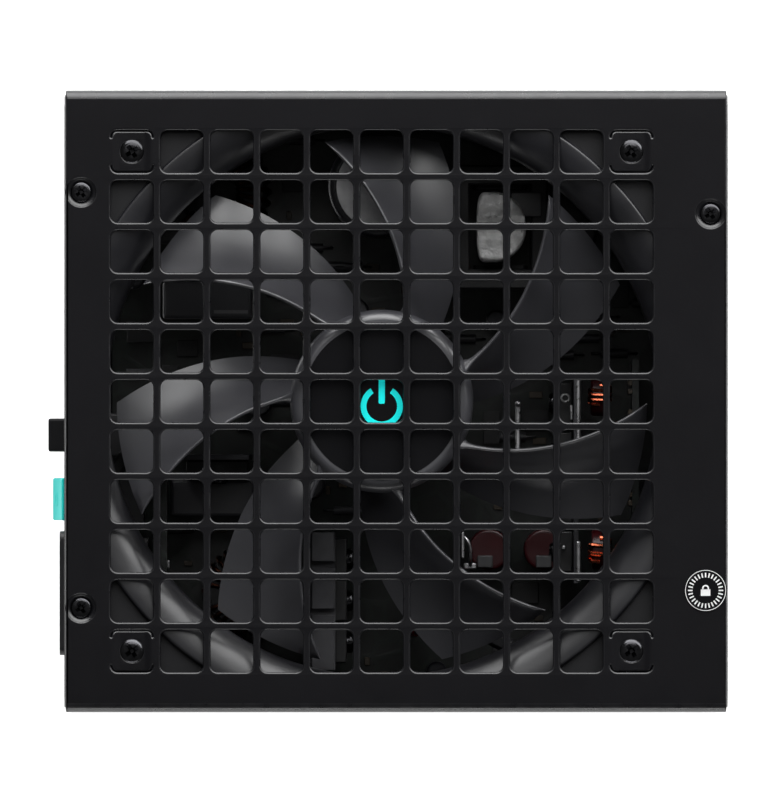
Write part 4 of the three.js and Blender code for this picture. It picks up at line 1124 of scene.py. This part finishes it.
def mains_leads():
    """Two leads from the filter board down to the main board, and their solder."""
    foot, exit_z = BOARD_TOP + 0.3, MAINS_Z - 8
    low, high = span("filter_board")
    x = high.x
    for node in ("live_lead", "neutral_lead"):
        y = middle(node).y
        route = [(x - 1.2, y, exit_z), (x + 2, y, exit_z), (x + 4.6, y, exit_z - 3),
                 (x + 5.2, y, foot + 5), (x + 5.2, y, foot)]
        piece(node + "_wire", tube(smooth_path(route, 40), 1.3, 16), CABLE, "cable", [node])
        solder = turned([(0, 0), (1.9, 0), (1.6, 0.5), (0.8, 1.1), (0, 1.4)], 20)
        solder.transform(Matrix.Translation((low.x, y, exit_z)) @ spun(-90, "Y"))
        piece(node + "_solder", solder, TIN, "bright_steel")


# ---- Modular face ----

FINE_SOCKET = "gpu_socket_16"
WELL_PITCH, FINE_PITCH = 4.2, 3.0
WELL, FINE_WELL = 3.3, 2.35  # a well's width
SOCKET_WALL = 1.2


def wells(node):
    """Column, row and middle (Y, Z) of each well of a socket, which has two rows of them."""
    low, high = span(node)
    y, z, pitch = middle(node).y, middle(node).z, FINE_PITCH if node == FINE_SOCKET else WELL_PITCH
    columns = 6 if node == FINE_SOCKET else round((high.y - low.y - 2 * SOCKET_WALL) / WELL_PITCH)
    for column in range(columns):
        for row in (0, 1):
            yield column, row, y + (column - (columns - 1) / 2) * pitch, z + (row - 0.5) * pitch


def socket(node):
    low, high = span(node)
    y, z = middle(node).y, middle(node).z
    w, h = high.y - low.y, high.z - low.z
    shell = prism(rounded_rectangle(y, z, w, h, 0.5, 4), low.x, high.x, "x")
    body = new_object(node + "_shell", shell, SOCKET_PLASTIC)
    tools, pins = bmesh.new(), bmesh.new()
    floor, mouth, root = high.x - 8.7, high.x + 1, high.x - 9.2
    half, pin = (FINE_WELL / 2, 0.45) if node == FINE_SOCKET else (WELL / 2, 0.57)
    for column, row, a, b in wells(node):
        # Every other well has its two outer corners cut, as the keying of the plug needs
        cut = 0.75 if (column + row) % 2 else 0.25
        up = 1 if row else -1
        outline = [(-half, -half * up), (half, -half * up), (half, (half - cut) * up),
                   (half - cut, half * up), (-half + cut, half * up), (-half, (half - cut) * up)][::up]
        add_prism(tools, [(a + p, b + q) for p, q in outline], floor, mouth, "x")
        loops = []
        for x, size in ((root, pin), (high.x - 3.6, pin), (high.x - 3.0, pin * 0.45)):
            square = [(-size, -size), (size, -size), (size, size), (-size, size)]
            loops.append([(x, a + p, b + q) for p, q in square])
        add_loops(pins, loops)
    if node == FINE_SOCKET:
        # Four small sense contacts in a slot under the power contacts
        add_prism(tools, rounded_rectangle(y, z - 3.55, 7.4, 1.5, 0.3, 3), floor, mouth, "x")
        for k in range(4):
            a = y + (k - 1.5) * 1.7
            add_box(pins, (root, a - 0.25, z - 3.8), (high.x - 3.4, a + 0.25, z - 3.3))
    boolean(body, tools)
    sharpened(body, 30)
    rounded_edges(body, 0.12, 2, 35)
    settle(body, "black_plastic", [node])
    piece(node + "_pins", pins, TIN, "bright_steel", angle=30)


def modular_board_back():
    """The soldered tails of the socket pins, behind the board that they stand on."""
    back = span("modular_board")[0].x
    bm = bmesh.new()
    for node in SOCKETS:
        for _, _, y, z in wells(node):
            cone = turned([(0, -0.05), (0.95, -0.05), (0.55, 0.5), (0.4, 1.3), (0, 1.4)], 10)
            cone.transform(Matrix.Translation((back, y, z)) @ spun(-90, "Y"))
            merge(bm, cone)
    piece("socket_solder", bm, TIN, "bright_steel")


# ---- Main board and what stands on it ----

def soft_box(name, low, high, radius, material, slot, nodes=(), segments=3):
    obj = new_object(name, box(low, high), material)
    rounded_edges(obj, radius, segments, 40)
    return settle(obj, slot, nodes)


def transformer():
    low, high = span("transformer_core")
    centre = (low + high) / 2
    winding_low, winding_high = span("transformer_winding")
    core = bmesh.new()
    # Two E halves, with the seam between them at the middle
    for side in (-1, 1):
        gap = 0.06 * side
        reach = (high.y - low.y) / 2
        inner = reach - 4.8
        for x0, x1 in ((low.x, low.x + 4.1), (high.x - 4.1, high.x)):
            ys = sorted((centre.y + gap, centre.y + side * reach))
            add_box(core, (x0, ys[0], low.z), (x1, ys[1], high.z))
        ys = sorted((centre.y + side * inner, centre.y + side * reach))
        add_box(core, (low.x + 0.01, ys[0], low.z + 0.01), (high.x - 0.01, ys[1], high.z - 0.01))
    core = new_object("ferrite_core", core, FERRITE)
    rounded_edges(core, 0.5, 2, 40)
    settle(core, "ferrite", ["transformer_core"])

    tape_wrap(winding_low, winding_high)
    # Bobbin cheeks below the tape, with terminal pins down to the board
    cheeks = bmesh.new()
    half = (winding_high - winding_low) / 2
    for y in (winding_low.y - 0.35, winding_high.y - 0.65):
        outline = rounded_rectangle(centre.z - 5, centre.x, 2 * half.z - 10, 2 * half.x - 1, 1.2, 4)
        add_prism(cheeks, outline, y, y + 1.0, "y")
    piece("bobbin", cheeks, SEAT_PLASTIC, "black_plastic")
    band = bmesh.new()
    outer = rounded_rectangle(centre.x, centre.y, high.x - low.x + 0.35, high.y - low.y + 0.35, 0.9, 4)
    inner = rounded_rectangle(centre.x, centre.y, high.x - low.x + 0.05, high.y - low.y + 0.05, 0.75, 4)
    for z in (centre.z + 4.5, centre.z - 8.5):
        levels = (outer, z), (outer, z + 4), (inner, z + 4), (inner, z)
        rings = [[(x, y, level) for x, y in outline] for outline, level in levels]
        add_loops(band, rings, closed=True)
    piece("core_tape", band, CORE_TAPE, "resin")
    patch = (centre.x + 2.6, centre.y + 2.5, high.z + 0.1), (high.x - 1.6, centre.y + 8.4, high.z + 0.6)
    soft_box("core_patch", *patch, 0.2, CORE_TAPE, "resin")
    pins = bmesh.new()
    for side in (-1, 1):
        for k in range(5):
            x, y = centre.x + (k - 2) * 3.1, centre.y + side * 12.3
            add_tube(pins, [(x, y, BOARD_TOP - 0.2), (x, y, winding_low.z + 1.5)], 0.4)
    piece("transformer_pins", pins, TIN, "bright_steel")


def tape_wrap(low, high):
    """The taped coil, flat on one side and bulging on the other, crumpled, with a strip across it."""
    rng = random.Random(11)
    centre_x, centre_y = low.x + 5.6, (low.y + high.y) / 2
    reach_x, reach_y, flat_x = 7.7, 8.5, -4.3
    shift = Vector((rng.uniform(0, 50), rng.uniform(0, 50), 0))

    def outline(scale, z, crumple):
        points = []
        steps = 96
        for k in range(steps):
            angle = 2 * math.pi * k / steps
            x, y = reach_x * math.cos(angle), reach_y * math.sin(angle)
            if x < 0:
                # The left side is flat with its corners rounded
                x = flat_x * abs(math.cos(angle)) ** 0.3
                y = reach_y * math.copysign(abs(math.sin(angle)) ** 0.8, y)
            p = Vector((x * scale, y * scale, z))
            wave = fractal(p * 0.22 + shift, 1.0, 2.0, 3)
            fold = 1 - abs(fractal(p * 0.16 - shift, 1.0, 2.2, 2)) * 2
            lift = crumple * (0.4 * wave + 0.45 * fold)
            out = Vector((x, y, 0)).normalized() * 0.35 * crumple * wave
            points.append(Vector((centre_x, centre_y, 0)) + p + out + Vector((0, 0, lift)))
        return points

    top = high.z - 0.8
    loops = [outline(1, low.z + (top - 2 - low.z) * k / 10, 0 if k == 0 else 0.5) for k in range(11)]
    for k in range(1, 7):
        turn = math.radians(15 * k)
        loops.append(outline(1 - 0.14 * (1 - math.cos(turn)), top - 2 + 2 * math.sin(turn), 0.6 + 0.05 * k))
    loops += [outline(0.86 * (1 - k / 17), top, 0.9) for k in range(1, 17)]
    bm = bmesh.new()
    add_loops(bm, loops)
    piece("tape_wrap", bm, TAPE, "tape", ["transformer_winding"], angle=70)
    strip = bmesh.new()
    columns = 30
    rows = []
    for k in range(columns + 1):
        x = centre_x + flat_x + 0.1 + (reach_x - flat_x - 0.5) * k / columns
        ragged = [0.35 * fractal(Vector((x * 1.3, side, 0)) + shift, 1.0, 2.0, 3) for side in (3, 9)]
        y0, y1 = centre_y + 0.9 + ragged[0], centre_y + 2.7 + ragged[1]
        z = top + 0.75 + 0.35 * fractal(Vector((x * 0.5, 5, 0)) + shift, 1.0, 2.0, 3)
        rows.append([Vector((x, y0, z - 0.9)), Vector((x, y1, z - 0.9)), Vector((x, y1, z - 0.1)),
                     Vector((x, (y0 + y1) / 2, z + 0.1)), Vector((x, y0, z - 0.1))])
    add_loops(strip, rows)
    piece("tape_strip", strip, TAPE, "tape", angle=70)


def toroid(name, node, axis, turns, wire_r, gaps, material=COPPER, core_material=FERRITE):
    """A ring core with real turns of wire. gaps lists the bare stretches between windings, in degrees."""
    low, high = span(node)
    centre = (low + high) / 2
    size = high - low
    across = [i for i in range(3) if i != axis]
    outer_r = size[across[0]] / 2
    rise = size[axis] / 2
    inner_r = outer_r * {"pfc_choke": 0.40, "emi_choke": 0.435}.get(node, 0.41)
    core_out, core_in, core_rise = outer_r - 2 * wire_r, inner_r + 2 * wire_r, rise - 2 * wire_r
    edge = min(1.0, (core_out - core_in) / 4)
    place = Matrix.Translation(centre) @ (spun(90, "Y") if axis == 0 else Matrix.Identity(4))
    core = turned([(core_in, -core_rise + edge), (core_in + edge, -core_rise), (core_out - edge, -core_rise),
                   (core_out, -core_rise + edge), (core_out, core_rise - edge), (core_out - edge, core_rise),
                   (core_in + edge, core_rise), (core_in, core_rise - edge)], 64, closed=True)
    core.transform(place)
    piece(name + "_core", core, core_material, "ferrite")
    wires = bmesh.new()
    mid, half = (core_out + core_in) / 2, (core_out - core_in) / 2 + wire_r
    per_turn = 20
    total = 360 - sum(g for _, g in gaps)
    for i, (start, gap) in enumerate(gaps):
        sweep = (gaps[(i + 1) % len(gaps)][0] - start - gap) % 360 or 360 - gap
        count = max(2, round(turns * sweep / total))
        path = []
        for k in range(count * per_turn + 1):
            around = math.radians(start + gap + sweep * k / (count * per_turn))
            t = 2 * math.pi * k / per_turn
            c, s = math.cos(t), math.sin(t)
            r = mid + half * math.copysign(abs(c) ** 0.45, c)
            z = (core_rise + wire_r) * math.copysign(abs(s) ** 0.45, s)
            path.append(place @ Vector((r * math.cos(around), r * math.sin(around), z)))
        add_tube(wires, path, wire_r, 7)
    return piece(name + "_wire", wires, material, "copper_wire", [node])


def can(name, node, cap_material, sleeve=SLEEVE):
    """An electrolytic capacitor: sleeve shrunk over the rim, bare top with a pressed vent."""
    low, high = span(node)
    centre = (low + high) / 2
    r, top, base = (high.x - low.x) / 2, high.z, low.z
    k = r / 15
    profile = [(0, base), (r - 1.2 * k, base), (r - 0.3 * k, base + 0.5 * k), (r, base + 1.4 * k),
               (r, base + 2.5 * k), (r - 0.6 * k, base + 3.4 * k), (r - 0.6 * k, base + 4.2 * k),
               (r, base + 5.2 * k), (r, top - 1.8 * k), (r - 0.35 * k, top - 0.7 * k),
               (r - 1.3 * k, top - 0.05), (r - 2.2 * k, top - 0.02),
               (r - 2.4 * k, top - 0.3 * k), (0, top - 0.3 * k)]
    body = turned(profile, 72, (centre.x, centre.y, 0))
    piece(name + "_sleeve", body, sleeve, "sleeve", [node], angle=50)
    lid = turned([(0, top - 0.5 * k), (r - 2.5 * k, top - 0.5 * k), (r - 2.5 * k, top - 0.22 * k),
                  (r - 3 * k, top - 0.12 * k), (0, top - 0.12 * k)], 64, (centre.x, centre.y, 0))
    cap = new_object(name + "_lid", lid, cap_material, 30)
    # The grooves cross, so each is cut on its own
    for turn in (20, 110) if r > 8 else (0, 60, 120):
        cuts = bmesh.new()
        half = 0.28 * max(k, 0.6)
        add_box(cuts, (-r * 0.66, -half, top - 0.26 * k), (r * 0.66, half, top + 1))
        cuts.transform(Matrix.Translation((centre.x, centre.y, 0)) @ spun(turn, "Z"))
        boolean(cap, cuts)
    sharpened(cap, 30)
    settle(cap, "aluminium")


def transistor(bm_case, bm_leads, bm_screws, place, face, width=10, height=15):
    """A flat power device against a heatsink; face is the unit vector from the heatsink to the device."""
    side = Vector((0, 0, 1)).cross(face)
    frame_of = Matrix((side, face, Vector((0, 0, 1)))).transposed().to_4x4()
    at = Matrix.Translation(place) @ frame_of
    body = add_box(bm_case, (-width / 2, 0.15, 0), (width / 2, 4.3, height))
    bmesh.ops.transform(bm_case, matrix=at, verts=body)
    for k in (-1, 0, 1):
        path = [at @ Vector((k * width * 0.25, 2.3, z)) for z in (0.2, -4, BOARD_TOP + 0.1 - place.z)]
        add_tube(bm_leads, path, 0.42, 6)
    head = turned([(0, -0.1), (2.6, -0.1), (2.6, 0.9), (2.1, 1.5), (0, 1.6)], 20)
    head.transform(at @ Matrix.Translation((0, 4.35, height * 0.72)) @ spun(-90, "X"))
    merge(bm_screws, head)


def heatsinks():
    cases, leads, heads = bmesh.new(), bmesh.new(), bmesh.new()
    low, high = span("primary_heatsink")
    x = (low.x + high.x) / 2
    rim = [(-1.5, low.z), (1.5, low.z), (1.5, 44.5), (3, 46)]
    comb = []
    for z in (46, 48, 50):
        comb += [(3, z + 0.1), (3, z + 1.1), (2.2, z + 1.35), (2.2, z + 1.85)]
    outline = rim + comb + [(2.6, high.z), (-2.6, high.z)] + [(-a, b) for a, b in reversed(comb)]
    outline += [(-3, 46), (-1.5, 44.5)]
    bar = prism([(b, x + a) for a, b in outline], low.y, high.y, "y")
    sink = new_object("primary_sink_bar", bar, DARK_ALUMINIUM, 30)
    slots = bmesh.new()
    for y in (-39.5, -51.0):
        add_box(slots, (x - 5, y - 0.8, high.z - 3), (x + 5, y + 0.8, high.z + 1))
    boolean(sink, slots)
    rounded_edges(sink, 0.2, 2, 30)
    settle(sink, "aluminium", ["primary_heatsink"])
    for y in (low.y + 6.5, (low.y + high.y) / 2, high.y - 6.5):
        transistor(cases, leads, heads, Vector((x + 1.5, y, 22)), Vector((1, 0, 0)))
    low, high = span("secondary_heatsink")
    half_y, half_z, notch = (high.y - low.y) / 2, (high.z - low.z) / 2, 14
    outlines = [[(-half_y, -half_z), (half_y, -half_z), (half_y, half_z), (-3, half_z), (-3, half_z - notch),
                 (-15.2, half_z - notch), (-15.2, half_z), (-half_y, half_z)]]
    outlines += [circle(a, 12, 1.6, 20) for a in (6, 18)]
    plate = flat_sheet(outlines, high.x - low.x, 0.12)
    plate.transform(Matrix.Translation((high.x, (low.y + high.y) / 2, (low.z + high.z) / 2))
                    @ Matrix(((0, 0, 1, 0), (1, 0, 0, 0), (0, 1, 0, 0), (0, 0, 0, 1))))
    piece("secondary_sink_plate", plate, DARK_ALUMINIUM, "aluminium", ["secondary_heatsink"], angle=30)
    # The plate's top edge is folded over and tinned, on both sides of the notch
    centre_y = (low.y + high.y) / 2
    for i, (y0, y1) in enumerate(((centre_y - 3, high.y), (low.y, centre_y - 15.2))):
        corners = (low.x + 0.4, y0 + 0.1, high.z - 2.5), (low.x + 1.8, y1 - 0.1, high.z + 0.2)
        soft_box(f"secondary_sink_fold_{i + 1}", *corners, 0.5, TIN, "aluminium")
    for y in (low.y + 7.5, low.y + 19.5, low.y + 31.5, low.y + 43.5):
        transistor(cases, leads, heads, Vector((low.x, y, 24)), Vector((-1, 0, 0)))
    low, high = span("bridge_heatsink")
    outlines = [rounded_rectangle(0, 0, high.x - low.x, high.z - low.z, 1, 4), circle(0, 11, 1.7, 20)]
    plate = flat_sheet(outlines, high.y - low.y, 0.12)
    plate.transform(Matrix.Translation(((low.x + high.x) / 2, low.y, (low.z + high.z) / 2))
                    @ spun(90, "X"))
    piece("bridge_sink_plate", plate, DARK_ALUMINIUM, "aluminium", ["bridge_heatsink"], angle=30)
    transistor(cases, leads, heads, Vector(((low.x + high.x) / 2, low.y, 20)), Vector((0, -1, 0)), 15, 17)
    body = new_object("power_devices", cases, EPOXY)
    rounded_edges(body, 0.4, 2, 40)
    settle(body, "black_plastic")
    piece("device_leads", leads, TIN, "bright_steel")
    piece("device_screws", heads, BLACK_SCREW, "dark_steel")


def boards():
    for node in ("main_board", "modular_board", "dcdc_board", "filter_board"):
        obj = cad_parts[node]
        dress(node, BOARD)
        rounded_edges(obj, 0.15, 1, 40)


def dress(node, material):
    """Gives a carried-over CAD node its finished material."""
    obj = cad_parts[node]
    obj.data.materials.clear()
    obj.data.materials.append(material)
    return obj


def parts_on_boards():
    """Chip capacitors, chips, ceramic discs, small cans and wires: each kind is one scattered piece."""
    rng = random.Random(7)
    top = BOARD_TOP
    taken = []
    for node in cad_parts:
        low, high = span(node)
        if low.z < 30 and high.z > top + 0.5 and node not in ("lower_chassis", "top_cover", "main_board"):
            taken.append((low.x - 1.5, low.y - 1.5, high.x + 1.5, high.y + 1.5))
    finishes = {
        "chips": (EPOXY, "black_plastic"), "chip_caps": (CERAMIC, "resin"), "small_cans": (SLEEVE, "sleeve"),
        "can_lids": (DARK_ALUMINIUM, "aluminium"), "resistors": (GREY_RESIN, "resin"),
        "wires": (DARK_ALUMINIUM, "aluminium"),
    }
    kinds = {name: bmesh.new() for name in finishes}
    placed = 0
    while placed < 150:
        x, y = rng.uniform(-64, 62), rng.uniform(-67, 67)
        size = rng.choice((1.6, 2.4, 3.6, 3.6))
        if any(a - size < x < c + size and b - size < y < d + size for a, b, c, d in taken):
            continue
        taken.append((x - size * 0.75, y - size * 0.75, x + size * 0.75, y + size * 0.75))
        placed += 1
        if size > 3 and placed % 3 == 0:
            r, h = rng.choice(((3.1, 11), (2.5, 8), (4, 13)))
            wall = [(0, 0), (r - 0.3, 0), (r, 0.5), (r, h - 0.5), (r - 0.5, h), (0, h)]
            lid = [(0, h - 0.1), (r - 0.7, h - 0.1), (r - 0.8, h + 0.06), (0, h + 0.06)]
            add_turned(kinds["small_cans"], wall, 28, (x, y, top))
            add_turned(kinds["can_lids"], lid, 28, (x, y, top))
        elif size > 3:
            w, d = rng.choice(((5, 4), (6.5, 5), (4, 8)))
            add_box(kinds["chips"], (x - w / 2, y - d / 2, top + 0.1), (x + w / 2, y + d / 2, top + 1.6))
        elif size > 2:
            w = 3.2
            add_tube(kinds["resistors"], [(x - w, y, top + 1.3), (x + w, y, top + 1.3)], 1.1, 12)
            legs = [(x - w - 2, y, top - 0.2), (x - w - 1.4, y, top + 1.1),
                    (x + w + 1.4, y, top + 1.1), (x + w + 2, y, top - 0.2)]
            add_tube(kinds["wires"], smooth_path(legs, 14), 0.35, 6)
        else:
            w, d = rng.choice(((2, 1.25), (1.25, 2), (3.2, 1.6)))
            add_box(kinds["chip_caps"], (x - w / 2, y - d / 2, top), (x + w / 2, y + d / 2, top + 0.9))
    # Chips on the inner face of the upright converter board
    low, high = span("dcdc_board")
    for k in range(6):
        y = low.y + 5 + 9 * k
        add_box(kinds["chips"], (low.x - 1.1, y - 2.5, 40), (low.x, y + 2.5, 46))
        for j in range(3):
            add_box(kinds["chip_caps"], (low.x - 1.0, y - 2.2 + 2 * j, 47), (low.x, y - 1 + 2 * j, 48.8))
    for name, bm in kinds.items():
        material, slot = finishes[name]
        obj = new_object("board_" + name, bm, material)
        if name in ("chips", "chip_caps"):
            rounded_edges(obj, 0.12, 1, 40)
        settle(obj, slot)


def film_capacitors():
    for node in ("x_capacitor_1", "x_capacitor_2"):
        low, high = span(node)
        soft_box(node + "_block", low, high, 0.7, GREY_RESIN, "resin", [node])
        centre, size = (low + high) / 2, high - low
        outline = rounded_rectangle(centre.x, centre.y, size.x - 1.4, size.y - 1.4, 0.6, 4)
        plate = new_object(node + "_face", prism(outline, high.z - 0.2, high.z + 0.12), GREY_RESIN)
        rounded_edges(plate, 0.08, 1, 40)
        settle(plate, "resin")
    low, high = span("x_capacitor_1")
    rule = box((high.x - 9.2, 21.3, high.z + 0.08), (high.x - 0.9, 22.1, high.z + 0.16))
    piece("capacitor_rule", rule, GREY_INK, "label")
    low, high = span("x_capacitor_2")
    # A bright tinned wire along the second block's top edge: a painted highlight for the glint on that edge
    route = [(-51.5, -6), (-51.3, -0.6), (-50.6, 0), (-44, 0.1), (-37, 0), (-36.3, -0.6), (-36.1, -6)]
    path = smooth_path([(x, high.y + 0.7, high.z + lift) for x, lift in route], 30)
    piece("capacitor_glint_wire", tube(path, 0.4, 10), TIN, "bright_steel")


def output_stage():
    """The tinned bar, bracket and small block seen between the transformer and the modular board."""
    def tinned(name, bm, rounding):
        settle(rounded_edges(new_object(name, bm, TIN), rounding), "bright_steel")

    bar = bmesh.new()
    add_box(bar, (28.95, -12.2, 20), (30.05, -1.1, 50))
    stud = [(0, 49), (0.5, 49), (0.72, 50), (0.72, 51), (0.45, 51.4), (0, 51.4)]
    add_turned(bar, stud, 20, (29.5, -0.6, 0))
    tinned("bus_bar", bar, 0.25)
    bracket = bmesh.new()
    add_box(bracket, (15.7, -38, 8.8), (16.6, -31.6, 48))
    add_box(bracket, (16.4, -40.7, 38), (19.5, -39.2, 43))
    tinned("earth_bracket", bracket, 0.3)
    bend = smooth_path([(16.2, -32.6, 47.2), (17.2, -33.6, 47.6), (17.95, -35.2, 47.6), (18.05, -37.4, 47.2),
                        (18.05, -38.9, 46), (18.05, -39.8, 42.5)], 30)
    piece("earth_hook", tube(bend, 0.42, 10), TIN, "bright_steel")
    # Tabs and an eyelet stand beside the secondary plate
    tabs = bmesh.new()
    add_box(tabs, (42.2, -4.5, 40), (42.8, -0.9, 49))
    add_box(tabs, (40.2, -35.8, 40), (41.0, -35.0, 49))
    eyelet = [(0.7, 46), (1.1, 46), (1.2, 46.4), (1.1, 46.8), (0.7, 46.8)]
    add_turned(tabs, eyelet, 24, (41, 0.8, 0), closed=True)
    tinned("sink_tabs", tabs, 0.15)
    soft_box("feedback_block", (31, 62, BOARD_TOP + 0.1), (39, 69, 24), 0.6, GREY_RESIN, "resin")


def internals():
    transformer()
    can("bulk_capacitor", "bulk_capacitor", LID_ALUMINIUM)
    for i in (1, 2):
        can(f"output_capacitor_{i}", f"output_capacitor_{i}", RED_SLEEVE, RED_SLEEVE)
        low, high = span(f"output_capacitor_{i}")
        x, y = (low.x + high.x) / 2 - 1 + 0.8 * (i - 1), (low.y + high.y) / 2
        soft_box(f"output_block_{i}", (x - 1.9, y - 4.4, high.z - 3), (x + 1.9, y - 1.4, high.z + 1.6), 0.3,
                 CORE_TAPE, "resin")
    # The large chokes' wire is the darkened copper, with its painted shade
    toroid("pfc_choke", "pfc_choke", 2, 30, 0.62, [(200, 26)], SHADED_COPPER)
    toroid("emi_choke", "emi_choke", 2, 26, 0.55, [(0, 24), (180, 24)], SHADED_COPPER)
    toroid("dcdc_choke_1", "dcdc_choke_1", 0, 4, 0.42, [(205, 310)], COPPER, RED_SLEEVE)
    toroid("dcdc_choke_2", "dcdc_choke_2", 0, 3, 0.52, [(213, 294)], COPPER, RED_SLEEVE)
    heatsinks()
    film_capacitors()
    boards()
    parts_on_boards()
    output_stage()
    mains_leads()
    fan_cable()
    for node, material in (("fan_yoke", DRAWN_STEEL), ("fan_shaft", BRIGHT_STEEL), ("fan_bearing", BRONZE),
                           ("fan_stator", COPPER)):
        dress(node, material)
        rounded_edges(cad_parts[node], 0.15, 2, 40)


def rating_label():
    """A blank rating plate with a plain ruled table on the side wall."""
    y = -HALF_WIDTH
    film = prism(rounded_rectangle(42, 0, 62, 118, 2.5, 6), y - 0.1, y, "y")
    piece("rating_film", film, LABEL_FILM, "label")
    ink = bmesh.new()
    for k in range(5):
        z = 22 + 9 * k
        add_box(ink, (-52, y - 0.12, z - 0.15), (52, y - 0.09, z + 0.15))
    for x in (-52, -26, -9, 8, 25, 42, 52):
        add_box(ink, (x - 0.15, y - 0.12, 22), (x + 0.15, y - 0.09, 58))
    piece("rating_rules", ink, GREY_INK, "label")


# ---- Floor, light and camera ----

def floor_and_light():
    bpy.ops.mesh.primitive_plane_add(size=6, location=(0, 0, CAD_BOX[0][2] - 0.0005))
    floor = bpy.context.object
    floor.name = "floor"
    paper = new_material("floor_paper", (0.9, 0.9, 0.9), 0.9)
    tint(paper, noise(paper, 3, 2), (0.89, 0.89, 0.89), (0.91, 0.91, 0.91))
    # The floor is a white table lit from within, so that it stays pale around a black object
    shader_of(paper).inputs["Emission Color"].default_value = (1, 1, 1, 1)
    shader_of(paper).inputs["Emission Strength"].default_value = 0.95
    floor.data.materials.append(paper)
    world = bpy.data.worlds.new("studio")
    bpy.context.scene.world = world
    world.use_nodes = True
    world.node_tree.nodes["Background"].inputs["Color"].default_value = (1, 1, 1, 1)
    world.node_tree.nodes["Background"].inputs["Strength"].default_value = 0.1

    def softbox(name, azimuth, elevation, distance, width, height, watts):
        """An oblong light that faces the part. Angles are in degrees, sizes in metres."""
        direction = spun(azimuth, "Z", 3) @ spun(-elevation, "Y", 3) @ Vector((1, 0, 0))
        light = bpy.data.lights.new(name, "AREA")
        light.shape = "RECTANGLE"
        light.size, light.size_y = width, height
        light.energy = watts
        obj = bpy.data.objects.new(name, light)
        obj.location = direction * distance + Vector((0, 0, 0.05))
        obj.rotation_euler = direction.to_track_quat("Z", "Y").to_euler()
        bpy.context.collection.objects.link(obj)

    softbox("key", azimuth=74, elevation=40, distance=1.1, width=2.0, height=0.8, watts=30)
    softbox("top", azimuth=90, elevation=70, distance=1.2, width=0.5, height=0.3, watts=2)
    softbox("rim", azimuth=90, elevation=13, distance=1.3, width=1.6, height=0.25, watts=11)
    softbox("front_fill", azimuth=-90, elevation=14, distance=1.3, width=1.2, height=0.3, watts=6)


def camera():
    """A long lens straight above the fan side, as in the photo."""
    data = bpy.data.cameras.new("camera")
    data.sensor_width = 36
    data.lens = 1500
    long_side_seen = 192.8 * MM
    height = data.lens / data.sensor_width * long_side_seen
    data.clip_start, data.clip_end = 0.1, 20
    obj = bpy.data.objects.new("camera", data)
    off_centre = Vector((-1.7, 0.3, CASE_TOP)) * MM
    obj.location = off_centre + Vector((0, 0, height))
    bpy.context.collection.objects.link(obj)
    bpy.context.scene.camera = obj


# ---- Everything ----

camera()
cover_shell()
chassis_shell()
insulation()
screws()
seal_sticker()
rating_label()
fan_surround()
motor_seat()
impeller()
hub_mark()
inlet()
rocker_switch()
mode_button()
for socket_node in SOCKETS:
    socket(socket_node)
modular_board_back()
internals()
floor_and_light()
bpy.context.scene.view_settings.view_transform = "Standard"
